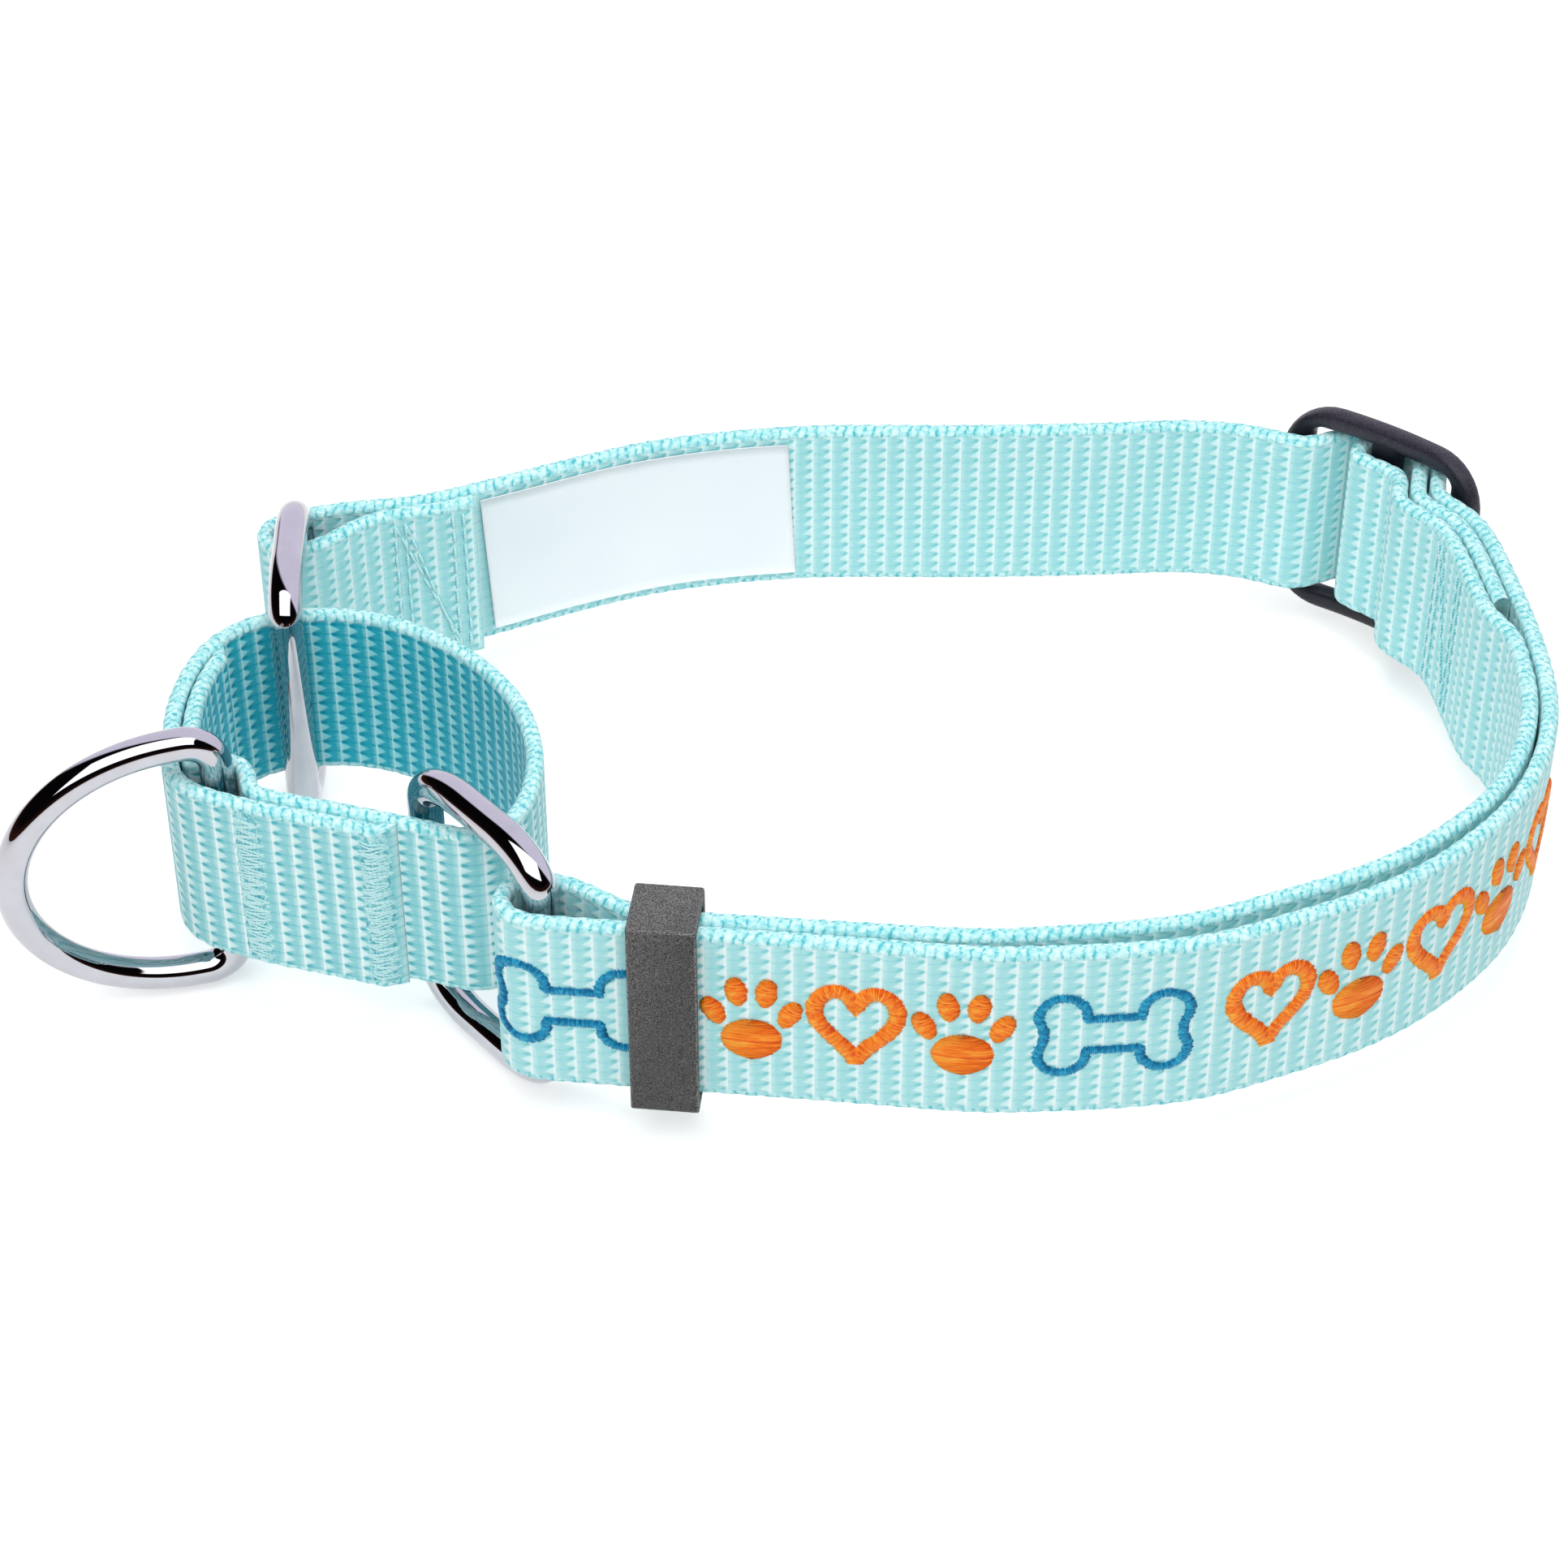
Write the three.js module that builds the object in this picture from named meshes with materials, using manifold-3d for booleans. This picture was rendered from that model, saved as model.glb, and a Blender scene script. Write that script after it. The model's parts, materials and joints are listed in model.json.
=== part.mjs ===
// Martingale collar: a main strap, a control loop of the same webbing, two wire rings that join
// them, a leash ring, a slider, a keeper, a sewn label and embroidery. Millimetres, +Z up.
// The straps stand on edge, so each strap is a line in plan, given a thickness and extruded
// over the width of the webbing. Heights are measured from the middle of the webbing.
import * as THREE from 'three';
import Module from 'manifold-3d';
import { mergeVertices } from 'three/addons/utils/BufferGeometryUtils.js';

const wasm = await Module();
wasm.setup();

// Webbing
const webbingWidth = 25.4;
const webbingThickness = 2.2;
const sewnGap = 0.3;
const sampleStep = 3;

// Control loop, in plan, along its outer layer, from the front left corner clockwise
const loopLength = 47;
const loopDepth = 49;
const loopShares = [
  [0.2255, 0.159],
  [0.055, 0.249],
  [0.011, 0.459],
  [0.019, 0.673],
  [0.0745, 0.837],
  [0.174, 0.9327],
  [0.319, 0.969],
  [0.479, 0.957],
  [0.638, 0.888],
  [0.789, 0.767],
  [0.917, 0.592],
  [0.981, 0.384],
  [0.979, 0.204],
  [0.945, 0.0755],
  [0.8426, -0.002],
  [0.6915, 0.0224],
  [0.4575, 0.0898],
];
const outerEndShare = 0.865;
const innerEndShare = 0.26;
const driftStartShare = 0.7;
const frontBarShare = 0.853;
const backBarShare = 0.328;
const leashBarShare = 0.035;

// Main strap, in plan, along its outer layer, from the front ring anticlockwise
const neckLength = 160;
const neckDepth = 113;
const straightEndShare = 0.1486;
const straightParts = 3;
const frontTurn = -6.2;
const neckShares = [
  [0.1875, 0.0124],
  [0.2494, 0.0177],
  [0.3106, 0.0319],
  [0.3725, 0.0664],
  [0.4306, 0.1044],
  [0.4775, 0.1469],
  [0.52, 0.2018],
  [0.5537, 0.2575],
  [0.5781, 0.3186],
  [0.595, 0.3832],
  [0.6044, 0.4522],
  [0.6062, 0.531],
  [0.6031, 0.6186],
  [0.5981, 0.692],
  [0.5925, 0.7558],
  [0.5834, 0.8078],
  [0.5482, 0.8699],
  [0.5068, 0.9238],
  [0.4602, 0.9683],
  [0.4094, 1.0025],
  [0.3563, 1.0142],
  [0.2812, 1.008],
  [0.1625, 1.0027],
  [0.025, 1.0018],
];
// The last of it, where it comes down to the back ring: shares of the rise from there
const shoulderShares = [
  [-0.05, 0.9375],
  [-0.1163, 0.8217],
  [-0.1875, 0.599],
  [-0.25, 0.3713],
  [-0.3063, 0.1884],
];
const backStraight = 6;
const backTurn = 18;
const loopLeftShare = -0.48125;
const loopFrontShare = 0.19;

// Wire rings between the loop and the main strap
const ringWire = 4.4;
const ringSpan = 23.4;
const ringSideRun = 0.2;
const ringEdgeRun = 2;
const ringArch = 4.5;
const ringShoulder = 8;
const ringRun = 0.7;
const frontRingTurn = 129.5;
const backRingTurn = 272.5;
const wireSides = 10;
const wireSteps = 48;

// Leash ring and its pocket in the control loop
const leashWire = 4.2;
const leashRoom = 6;
const leashEdgeRun = 2;
const leashReach = 26.6;
const leashLimb = 5;
const leashCorner = 4;
const leashTurn = 197;
const leashRun = 0.45;
const pocketEase = 2;

// Folds round the wire rings, the sewn tail and the play between the two front layers
const foldSlack = 0.8;
const foldTaper = 14;
const backTail = 24;
const layerPlay = 1.6;
const foldStep = 20;

// Slider and the sewn loop round its centre bar
const sliderRim = 3.1;
const sliderThickness = 3;
const sliderCorner = 8;
const endBar = 4.5;
const centreBar = 4.8;
const sliderSlot = 8.6;
const slotRoom = 0.6;
const sliderRun = 1.1;
const wrapRun = 0.4;
const wrapTail = 22;
const tailEase = 8;
const weaveEase = 3;
const footRoom = 0.6;
const sliderShare = 0.5745;

// Keeper
const keeperLength = 8.3;
const keeperWall = 1;
const keeperRun = 0.8;
const keeperSideRun = 0.4;
const keeperPlay = 1.45;
const keeperPlace = 15.2;

// Label
const labelLength = 45.2;
const labelGap = 2;
const labelHeight = 21.5;
const labelThickness = 0.3;
const trimGap = 0.2;

// Embroidery
const threadThickness = 0.35;
const trimDepth = 9;
const boneLength = 19;
const boneHeight = 12.8;
const boneStroke = 1.2;
const boneWaistShare = 0.38;
const boneLobeShare = 0.27;
const firstBonePlace = 4;
const secondBonePlace = 68;
const motifHeight = 13;
const motifWidth = 12;
const firstMotifPlace = 25.5;
const motifPitch = 12.5;
const frontMotifs = ['paw', 'heart', 'paw'];
const sideMotifs = ['heart', 'paw', 'heart', 'paw', 'heart'];
const sideMotifPlace = 87;

// Stitching
const stitchWidth = 0.8;
const stitchMargin = 1.6;
const tackWidth = 4;
const tackTurns = 9;
const leftTackShare = 0.99;
const frontTackShare = 0.88;
const tailSeamWidth = 9.4;
const tailSeamPlace = 6.4;
const sliderSeamWidth = 10;
const sliderSeamPlace = 8;

const layerPitch = webbingThickness + sewnGap;
const ringBar = webbingWidth + 2 * ringSideRun;
const ringHeight = ringBar + 2 * ringArch + ringWire;
const ringLift = ringSideRun + ringArch - ringWire / 2 - ringEdgeRun;
const leashHeight = webbingWidth + 2 * leashWire + leashRoom;
const leashDrop = leashRoom / 2 - leashEdgeRun;
const pocketRadius = leashWire / 2 + leashRun + webbingThickness / 2;
const pocketReach = pocketRadius + pocketEase;
const slotHeight = webbingWidth + 2 * slotRoom;
const sliderHeight = slotHeight + 2 * sliderRim;
const halfTurn = 180;
const overrun = webbingWidth;

function radians(degrees) {
  return (degrees * Math.PI) / halfTurn;
}

function heading(degrees) {
  return new THREE.Vector2(Math.cos(radians(degrees)), Math.sin(radians(degrees)));
}

function smooth(share) {
  const t = Math.min(Math.max(share, 0), 1);
  return t * t * (3 - 2 * t);
}

// A line in plan, with places measured along it and an outward side.
class PlanLine {
  constructor(points, leftIsOutward, startPlace = 0) {
    this.points = points;
    this.side = leftIsOutward ? 1 : -1;
    this.places = [startPlace];
    points.slice(1).forEach((point, i) => {
      this.places.push(this.places[i] + point.distanceTo(points[i]));
    });
    this.start = startPlace;
    this.length = this.places.at(-1) - startPlace;
    this.closed = points[0].distanceTo(points.at(-1)) < sewnGap;
    this.tangents = points.map((point, i) => this.tangentAtPoint(i));
  }

  tangentAtPoint(i) {
    const last = this.points.length - 1;
    const onSeam = this.closed && (i === 0 || i === last);
    const before = onSeam ? this.points[last - 1] : this.points[Math.max(i - 1, 0)];
    const after = onSeam ? this.points[1] : this.points[Math.min(i + 1, last)];
    return after.clone().sub(before).normalize();
  }

  at(place) {
    const turns = this.closed ? Math.floor((place - this.start) / this.length) : 0;
    const inside = place - turns * this.length;
    let i = this.places.findIndex((value) => value > inside) - 1;
    if (i < 0) i = inside < this.start ? 0 : this.points.length - 2;
    const share = (inside - this.places[i]) / (this.places[i + 1] - this.places[i]);
    const point = this.points[i].clone().lerp(this.points[i + 1], share);
    const clamped = Math.min(Math.max(share, 0), 1);
    const along = this.tangents[i].clone().lerp(this.tangents[i + 1], clamped).normalize();
    const outward = new THREE.Vector2(-along.y, along.x).multiplyScalar(this.side);
    return { point, along, outward };
  }

  offset(place, distance) {
    const { point, outward } = this.at(place);
    return point.addScaledVector(outward, distance);
  }

  // Points from one place to another, at an offset that may change along the way.
  run(from, to, offsetAt) {
    const count = Math.max(1, Math.round(Math.abs(to - from) / sampleStep));
    return Array.from({ length: count + 1 }, (_, i) => {
      const place = from + ((to - from) * i) / count;
      return this.offset(place, offsetAt(place));
    });
  }
}

function splineLine(points, closed, leftIsOutward) {
  const flat = points.map((p) => new THREE.Vector3(p.x, p.y, 0));
  const curve = new THREE.CatmullRomCurve3(flat, closed, 'centripetal');
  const count = Math.round(curve.getLength() / sampleStep);
  const spaced = curve.getSpacedPoints(count).map((p) => new THREE.Vector2(p.x, p.y));
  return new PlanLine(spaced, leftIsOutward);
}

// The outline between two offsets, to the left, of a line through the points.
function bandOutline(points, nearOffset, farOffset) {
  const near = [];
  const far = [];
  points.forEach((point, i) => {
    const before = points[Math.max(i - 1, 0)];
    const after = points[Math.min(i + 1, points.length - 1)];
    const into = (i > 0 ? point.clone().sub(before) : after.clone().sub(point)).normalize();
    const out = (i < points.length - 1 ? after.clone().sub(point) : into.clone()).normalize();
    const along = into.clone().add(out).normalize();
    const across = new THREE.Vector2(-along.y, along.x).divideScalar(along.dot(into));
    near.push(point.clone().addScaledVector(across, nearOffset));
    far.push(point.clone().addScaledVector(across, farOffset));
  });
  return [...near, ...far.reverse()];
}

function band(points, nearOffset, farOffset, height) {
  const shape = new THREE.Shape(bandOutline(points, nearOffset, farOffset));
  const geometry = new THREE.ExtrudeGeometry(shape, { depth: height, bevelEnabled: false });
  return geometry.translate(0, 0, -height / 2);
}

function strip(points, thickness, height) {
  return band(points, -thickness / 2, thickness / 2, height);
}

// A polyline with its corners rounded, for the webbing's way through the slider.
function roundedRun(corners) {
  const points = [];
  corners.forEach(({ at, radius }, i) => {
    if (!radius) {
      points.push(at.clone());
      return;
    }
    const into = at.clone().sub(corners[i - 1].at).normalize();
    const out = corners[i + 1].at.clone().sub(at).normalize();
    const turn = Math.atan2(into.cross(out), into.dot(out));
    const tangent = radius * Math.tan(Math.abs(turn) / 2);
    const side = new THREE.Vector2(-into.y, into.x).multiplyScalar(Math.sign(turn) * radius);
    const start = at.clone().addScaledVector(into, -tangent);
    const centre = start.clone().add(side);
    const steps = Math.max(2, Math.ceil(Math.abs(turn) / radians(foldStep)));
    for (let k = 0; k <= steps; k += 1) {
      points.push(start.clone().rotateAround(centre, (turn * k) / steps));
    }
  });
  return points;
}

function toSolid(geometry) {
  const bare = geometry.index ? geometry.toNonIndexed() : geometry.clone();
  bare.deleteAttribute('normal');
  bare.deleteAttribute('uv');
  const merged = mergeVertices(bare);
  const vertProperties = new Float32Array(merged.attributes.position.array);
  const triVerts = new Uint32Array(merged.index.array);
  return new wasm.Manifold(new wasm.Mesh({ numProp: 3, vertProperties, triVerts }));
}

function toGeometry(solid) {
  const { vertProperties, triVerts } = solid.getMesh();
  const geometry = new THREE.BufferGeometry();
  geometry.setAttribute('position', new THREE.BufferAttribute(vertProperties, 3));
  geometry.setIndex(new THREE.BufferAttribute(triVerts, 1));
  return geometry;
}

// Axes on a strap's face: x along the strap, y up, z out of the face.
function faceMatrix(line, place, offset, outside) {
  const { outward } = line.at(place);
  const origin = line.offset(place, offset);
  const facing = outside ? outward : outward.clone().negate();
  const out = new THREE.Vector3(facing.x, facing.y, 0);
  const up = new THREE.Vector3(0, 0, 1);
  const forward = new THREE.Vector3().crossVectors(up, out);
  return new THREE.Matrix4().makeBasis(forward, up, out).setPosition(origin.x, origin.y, 0);
}

function flatPiece(shape, thickness, curveSegments) {
  const geometry = new THREE.ExtrudeGeometry(shape, {
    depth: thickness,
    bevelEnabled: false,
    curveSegments,
  });
  return geometry.translate(0, 0, -thickness / 2);
}

// A stroke of thread between two points of a face.
function stroke(from, to, width) {
  const span = to.clone().sub(from);
  const bar = new THREE.BoxGeometry(span.length() + width, width, trimDepth);
  bar.rotateZ(span.angle());
  const middle = from.clone().add(to).multiplyScalar(0.5);
  return bar.translate(middle.x, middle.y, 0);
}

function strokes(points) {
  return points.slice(1).map((point, i) => stroke(points[i], point, stitchWidth));
}

function joined(geometries) {
  return geometries.map(toSolid).reduce((whole, piece) => whole.add(piece));
}

// Thread on a strap's face: flat outlines, pushed through a thin band that follows the face.
function onFace(flats, face, place) {
  const { points, line, outside } = face;
  const matrix = faceMatrix(line, place, 0, outside);
  const near = webbingThickness / 2 + trimGap;
  const sides = [near, near + threadThickness].map((offset) => offset * line.side * (outside ? 1 : -1));
  const layer = toSolid(band(points, Math.min(...sides), Math.max(...sides), webbingWidth));
  return toGeometry(joined(flats.map((flat) => flat.applyMatrix4(matrix))).intersect(layer));
}

const collar = new THREE.Group();

function addPart(name, geometry, colour, roughness, metalness) {
  const material = new THREE.MeshStandardMaterial({ color: colour, roughness, metalness });
  const mesh = new THREE.Mesh(geometry, material);
  mesh.name = name;
  collar.add(mesh);
  return mesh;
}

const aqua = 0x8fdcdd;
const chromeGrey = 0xc9ccd2;
const seamAqua = 0x9fe0e2;
const boneBlue = 0x1587b9;
const motifOrange = 0xfa7314;

// The control loop's line, and what lies along it.
const loopCorner = new THREE.Vector2(loopLeftShare * neckLength, loopFrontShare * neckDepth);
const loopPoints = loopShares.map(
  ([x, y]) => new THREE.Vector2(x * loopLength, y * loopDepth).add(loopCorner),
);
const loopLine = splineLine(loopPoints, true, true);
const outerEnd = outerEndShare * loopLine.length;
const innerEnd = innerEndShare * loopLine.length;
const driftStart = driftStartShare * loopLine.length;
const leashPlace = leashBarShare * loopLine.length;

function loopOffset(place) {
  return -layerPitch * smooth((place - driftStart) / (outerEnd - driftStart));
}

function barInside(place, layers, wire, run) {
  const depth = webbingThickness / 2 + layers + run + wire / 2;
  return loopLine.offset(place, -depth);
}

const frontFar = barInside(frontBarShare * loopLine.length, layerPitch, ringWire, ringRun);
const backPlace = backBarShare * loopLine.length;
const backFar = barInside(backPlace, -loopOffset(backPlace), ringWire, ringRun);
const leashBar = barInside(leashPlace, 0, leashWire, leashRun);
const frontNear = frontFar.clone().addScaledVector(heading(frontRingTurn), -ringSpan);
const backNear = backFar.clone().addScaledVector(heading(backRingTurn), -ringSpan);

// The main strap's line, from the front ring's near bar to the back ring's.
const foldDepth = ringWire + 2 * ringRun + webbingThickness;
const frontAlong = heading(frontTurn);
const frontStart = frontNear
  .clone()
  .addScaledVector(new THREE.Vector2(frontAlong.y, -frontAlong.x), foldDepth / 2);
const backAlong = heading(halfTurn + backTurn);
const backFinish = backNear
  .clone()
  .addScaledVector(new THREE.Vector2(backAlong.y, -backAlong.x), foldDepth / 2);
const frontStraight = (straightEndShare * neckLength - frontStart.x) / frontAlong.x;
const straightPoints = Array.from({ length: straightParts + 1 }, (_, i) =>
  frontStart.clone().addScaledVector(frontAlong, (frontStraight * i) / straightParts),
);
const curvePoints = neckShares.map(
  ([x, y]) => new THREE.Vector2(x * neckLength, y * neckDepth),
);
const backRise = neckDepth - backFinish.y;
const shoulderPoints = shoulderShares.map(
  ([x, y]) => new THREE.Vector2(x * neckLength, backFinish.y + y * backRise),
);
const backStart = backFinish.clone().addScaledVector(backAlong, -backStraight);
const neckLine = splineLine(
  [...straightPoints, ...curvePoints, ...shoulderPoints, backStart, backFinish],
  false,
  false,
);
const sliderPlace = sliderShare * neckLine.length;

// How the webbing passes the slider: u along the strap, v outward from the main strap's line.
const sliderHalf = centreBar / 2 + sliderSlot + endBar;
const sliderMid = webbingThickness / 2 + sliderRun + sliderThickness / 2;
const wrapRadius = wrapRun + webbingThickness / 2;
const wrapTop = sliderMid + sliderThickness / 2 + wrapRadius;
const wrapBottom = sliderMid - sliderThickness / 2 - wrapRadius;
const wrapSide = centreBar / 2 + wrapRadius;
const overTop = wrapTop + layerPitch;
const slotEdge = centreBar / 2 + sliderSlot;
const overFoot = slotEdge - footRoom;

function weaveSlope() {
  const reach = overFoot - centreBar / 2;
  const rise = sliderMid + sliderThickness / 2;
  return Math.atan2(rise, reach) + Math.asin((wrapRadius + layerPitch) / Math.hypot(reach, rise));
}

const slope = weaveSlope();
const layerShift = layerPitch * Math.tan(slope / 2);
const overShoulder = overFoot - overTop / Math.tan(slope);
const tailFoot = overFoot - layerShift;
const innerFoot = tailFoot - layerShift;
const innerShoulder = innerFoot - (wrapBottom + 2 * layerPitch) / Math.tan(slope);

function uv(u, v, radius = 0) {
  return { at: new THREE.Vector2(u, v), radius };
}

const overRun = roundedRun([
  uv(-sliderHalf, 0),
  uv(-overFoot, 0, weaveEase),
  uv(-overShoulder, overTop, wrapRadius + layerPitch),
  uv(overShoulder, overTop, wrapRadius + layerPitch),
  uv(overFoot, 0, weaveEase),
  uv(sliderHalf, 0),
]);
const wrapPoints = roundedRun([
  uv(sliderHalf, -2 * layerPitch),
  uv(innerFoot, -2 * layerPitch, weaveEase),
  uv(innerShoulder, wrapBottom, wrapRadius),
  uv(-wrapSide, wrapBottom, wrapRadius),
  uv(-wrapSide, wrapTop, wrapRadius),
  uv(overShoulder - layerShift, wrapTop, wrapRadius),
  uv(tailFoot, -layerPitch, weaveEase),
  uv(sliderHalf, -layerPitch),
]);

function pastSlider(points) {
  return points.map(({ x, y }) => neckLine.offset(sliderPlace - x, y));
}

// A fold round a ring's near bar, from the main strap's outer layer to its inner side.
function foldPoints(line, place, forward) {
  const { point, along, outward } = line.at(place);
  const middle = point.clone().addScaledVector(outward, -foldDepth / 2);
  const steps = Math.round(halfTurn / foldStep);
  return Array.from({ length: steps - 1 }, (_, i) => {
    const angle = (Math.PI * (i + 1)) / steps;
    const reach = (foldDepth / 2 + foldSlack) * Math.sin(angle);
    return middle
      .clone()
      .addScaledVector(along, forward * reach)
      .addScaledVector(outward, (foldDepth / 2) * Math.cos(angle));
  });
}

function foldedOffset(distance) {
  return layerPitch + (foldDepth - layerPitch) * (1 - smooth(distance / foldTaper));
}

const wrapStart = sliderPlace - sliderHalf;
const wrapTailEnd = wrapStart - wrapTail;

function innerLayerOffset(place) {
  const play = layerPlay * Math.sin(Math.PI * smooth(place / wrapTailEnd)) ** 2;
  const underTail = layerPitch * smooth((place - wrapTailEnd + tailEase + sewnGap) / tailEase);
  return -foldedOffset(place) - play - underTail;
}

const frontFold = foldPoints(neckLine, 0, -1);
const backFold = foldPoints(neckLine, neckLine.length, 1).reverse();
const tailPoints = neckLine.run(neckLine.length - backTail, neckLine.length, (place) =>
  -foldedOffset(neckLine.length - place));
const backPoints = neckLine.run(neckLine.length, sliderPlace + sliderHalf, () => 0);
const frontPoints = neckLine.run(wrapStart, 0, () => 0);
const innerPoints = neckLine.run(0, wrapStart, innerLayerOffset);
const wrapTailPoints = neckLine.run(wrapStart, wrapTailEnd, () => -layerPitch);
const mainPoints = [
  ...tailPoints,
  ...backFold,
  ...backPoints,
  ...pastSlider(overRun).slice(1, -1),
  ...frontPoints,
  ...frontFold,
  ...innerPoints,
  ...pastSlider(wrapPoints).slice(1, -1),
  ...wrapTailPoints,
];

addPart('main_strap', strip(mainPoints, webbingThickness, webbingWidth), aqua, 0.85, 0);

// Where a line from a point touches a circle, on the side given by the sense.
function touchAngle(from, centre, radius, sense) {
  const away = from.clone().sub(centre);
  return away.angle() + sense * Math.acos(radius / away.length());
}

// The inner layer's way round the leash ring's bar.
function pocketPoints(from, to) {
  const start = touchAngle(from, leashBar, pocketRadius, 1);
  const finish = touchAngle(to, leashBar, pocketRadius, -1);
  const sweep = THREE.MathUtils.euclideanModulo(finish - start, 2 * Math.PI);
  const steps = Math.ceil(sweep / radians(foldStep));
  return Array.from({ length: steps + 1 }, (_, i) => {
    const angle = start + (sweep * i) / steps;
    const reach = new THREE.Vector2(Math.cos(angle), Math.sin(angle)).multiplyScalar(pocketRadius);
    return leashBar.clone().add(reach);
  });
}

const pocketStart = loopLine.length + leashPlace - pocketReach;
const pocketEnd = loopLine.length + leashPlace + pocketReach;
const beforePocket = loopLine.run(outerEnd - loopLine.length, pocketStart, loopOffset);
const pastPocket = loopLine.run(pocketEnd, innerEnd + loopLine.length, loopOffset);
const afterPocket = pastPocket.filter((point) => point.distanceTo(leashBar) > pocketRadius);
const loopStrip = [
  ...beforePocket,
  ...pocketPoints(beforePocket.at(-1), afterPocket[0]),
  ...afterPocket,
];
addPart('control_loop', strip(loopStrip, webbingThickness, webbingWidth), aqua, 0.85, 0);

// A wire bent in a closed outline that is drawn in x and z.
class WireCurve extends THREE.Curve {
  constructor(outline) {
    super();
    this.outline = outline;
  }

  getPoint(share) {
    const { x, y } = this.outline.getPointAt(share % 1);
    return new THREE.Vector3(x, 0, y);
  }
}

function wireLoop(outline, wire) {
  const path = new WireCurve(outline);
  return new THREE.TubeGeometry(path, wireSteps, wire / 2, wireSides, true);
}

// Straight bars that hold the webbing, joined over its edges by arched limbs.
function ringOutline() {
  const rise = (ringHeight - ringWire) / 2;
  const bar = ringBar / 2;
  const arch = rise - bar;
  const far = ringSpan - ringShoulder;
  const outline = new THREE.Path();
  outline.moveTo(0, -bar);
  outline.lineTo(0, bar);
  outline.absellipse(ringShoulder, bar, ringShoulder, arch, Math.PI, Math.PI / 2, true);
  outline.lineTo(far, rise);
  outline.absellipse(far, bar, ringShoulder, arch, Math.PI / 2, 0, true);
  outline.lineTo(ringSpan, -bar);
  outline.absellipse(far, -bar, ringShoulder, arch, 0, -Math.PI / 2, true);
  outline.lineTo(ringShoulder, -rise);
  outline.absellipse(ringShoulder, -bar, ringShoulder, arch, -Math.PI / 2, -Math.PI, true);
  return outline;
}

function leashOutline() {
  const rise = (leashHeight - leashWire) / 2;
  const bar = rise - leashCorner;
  const bow = leashReach - leashLimb;
  const outline = new THREE.Path();
  outline.moveTo(0, -bar);
  outline.lineTo(0, bar);
  outline.absarc(leashCorner, bar, leashCorner, Math.PI, Math.PI / 2, true);
  outline.lineTo(leashLimb, rise);
  outline.absellipse(leashLimb, 0, bow, rise, Math.PI / 2, -Math.PI / 2, true);
  outline.lineTo(leashCorner, -rise);
  outline.absarc(leashCorner, -bar, leashCorner, -Math.PI / 2, -Math.PI, true);
  return outline;
}

function addWire(name, outline, wire, hinge, height, turn) {
  const mesh = addPart(name, wireLoop(outline, wire), chromeGrey, 0.12, 1);
  mesh.position.set(hinge.x, hinge.y, height);
  mesh.rotation.z = radians(turn);
}

addWire('front_ring', ringOutline(), ringWire, frontNear, ringLift, frontRingTurn);
addWire('back_ring', ringOutline(), ringWire, backNear, ringLift, backRingTurn);
addWire('leash_ring', leashOutline(), leashWire, leashBar, -leashDrop, leashTurn);

function plate(from, to, thickness, height) {
  return strip(neckLine.run(from, to, () => sliderMid), thickness, height);
}

function roundedPlate() {
  const halfHeight = sliderHeight / 2;
  const flat = sliderHalf - sliderCorner;
  const upright = halfHeight - sliderCorner;
  const outline = new THREE.Shape();
  outline.absarc(flat, upright, sliderCorner, 0, Math.PI / 2);
  outline.absarc(-flat, upright, sliderCorner, Math.PI / 2, Math.PI);
  outline.absarc(-flat, -upright, sliderCorner, Math.PI, -Math.PI / 2);
  outline.absarc(flat, -upright, sliderCorner, -Math.PI / 2, 0);
  return flatPiece(outline, overrun, 6).applyMatrix4(faceMatrix(neckLine, sliderPlace, sliderMid, true));
}

function addSlider() {
  const ends = [sliderPlace - sliderHalf - endBar, sliderPlace + sliderHalf + endBar];
  let body = toSolid(plate(...ends, sliderThickness, sliderHeight));
  body = body.intersect(toSolid(roundedPlate()));
  [-1, 1].forEach((side) => {
    const near = sliderPlace + (side * centreBar) / 2;
    const far = sliderPlace + side * slotEdge;
    const slot = plate(Math.min(near, far), Math.max(near, far), 2 * sliderThickness, slotHeight);
    body = body.subtract(toSolid(slot));
  });
  const axis = neckLine.offset(sliderPlace, sliderMid);
  const mesh = addPart('slider', toGeometry(body).translate(-axis.x, -axis.y, 0), 0x24232c, 0.4, 0);
  mesh.position.set(axis.x, axis.y, 0);
}

addSlider();

function addKeeper() {
  const roomHeight = webbingWidth + 2 * keeperSideRun;
  const layers = foldedOffset(keeperPlace - keeperLength / 2) + webbingThickness;
  const roomDepth = layers + keeperPlay;
  const outer = new THREE.BoxGeometry(
    keeperLength,
    roomHeight + 2 * keeperWall,
    roomDepth + 2 * keeperWall,
  );
  const room = new THREE.BoxGeometry(keeperLength + 2 * keeperWall, roomHeight, roomDepth);
  const sleeve = toGeometry(toSolid(outer).subtract(toSolid(room)));
  const middle = webbingThickness / 2 + keeperRun - roomDepth / 2;
  const mesh = addPart('keeper', sleeve, 0x2f2f2f, 0.7, 0);
  mesh.applyMatrix4(faceMatrix(neckLine, keeperPlace, middle, true));
}

addKeeper();

// Label on the inner face, from the end of the sewn tail.
const innerFace = -webbingThickness / 2 - trimGap;
const labelEnd = neckLine.length - backTail - labelGap;
const labelStrip = neckLine.run(labelEnd - labelLength, labelEnd, () => innerFace - labelThickness / 2);
addPart('label', strip(labelStrip, labelThickness, labelHeight), 0xedf3fa, 0.6, 0);

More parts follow.
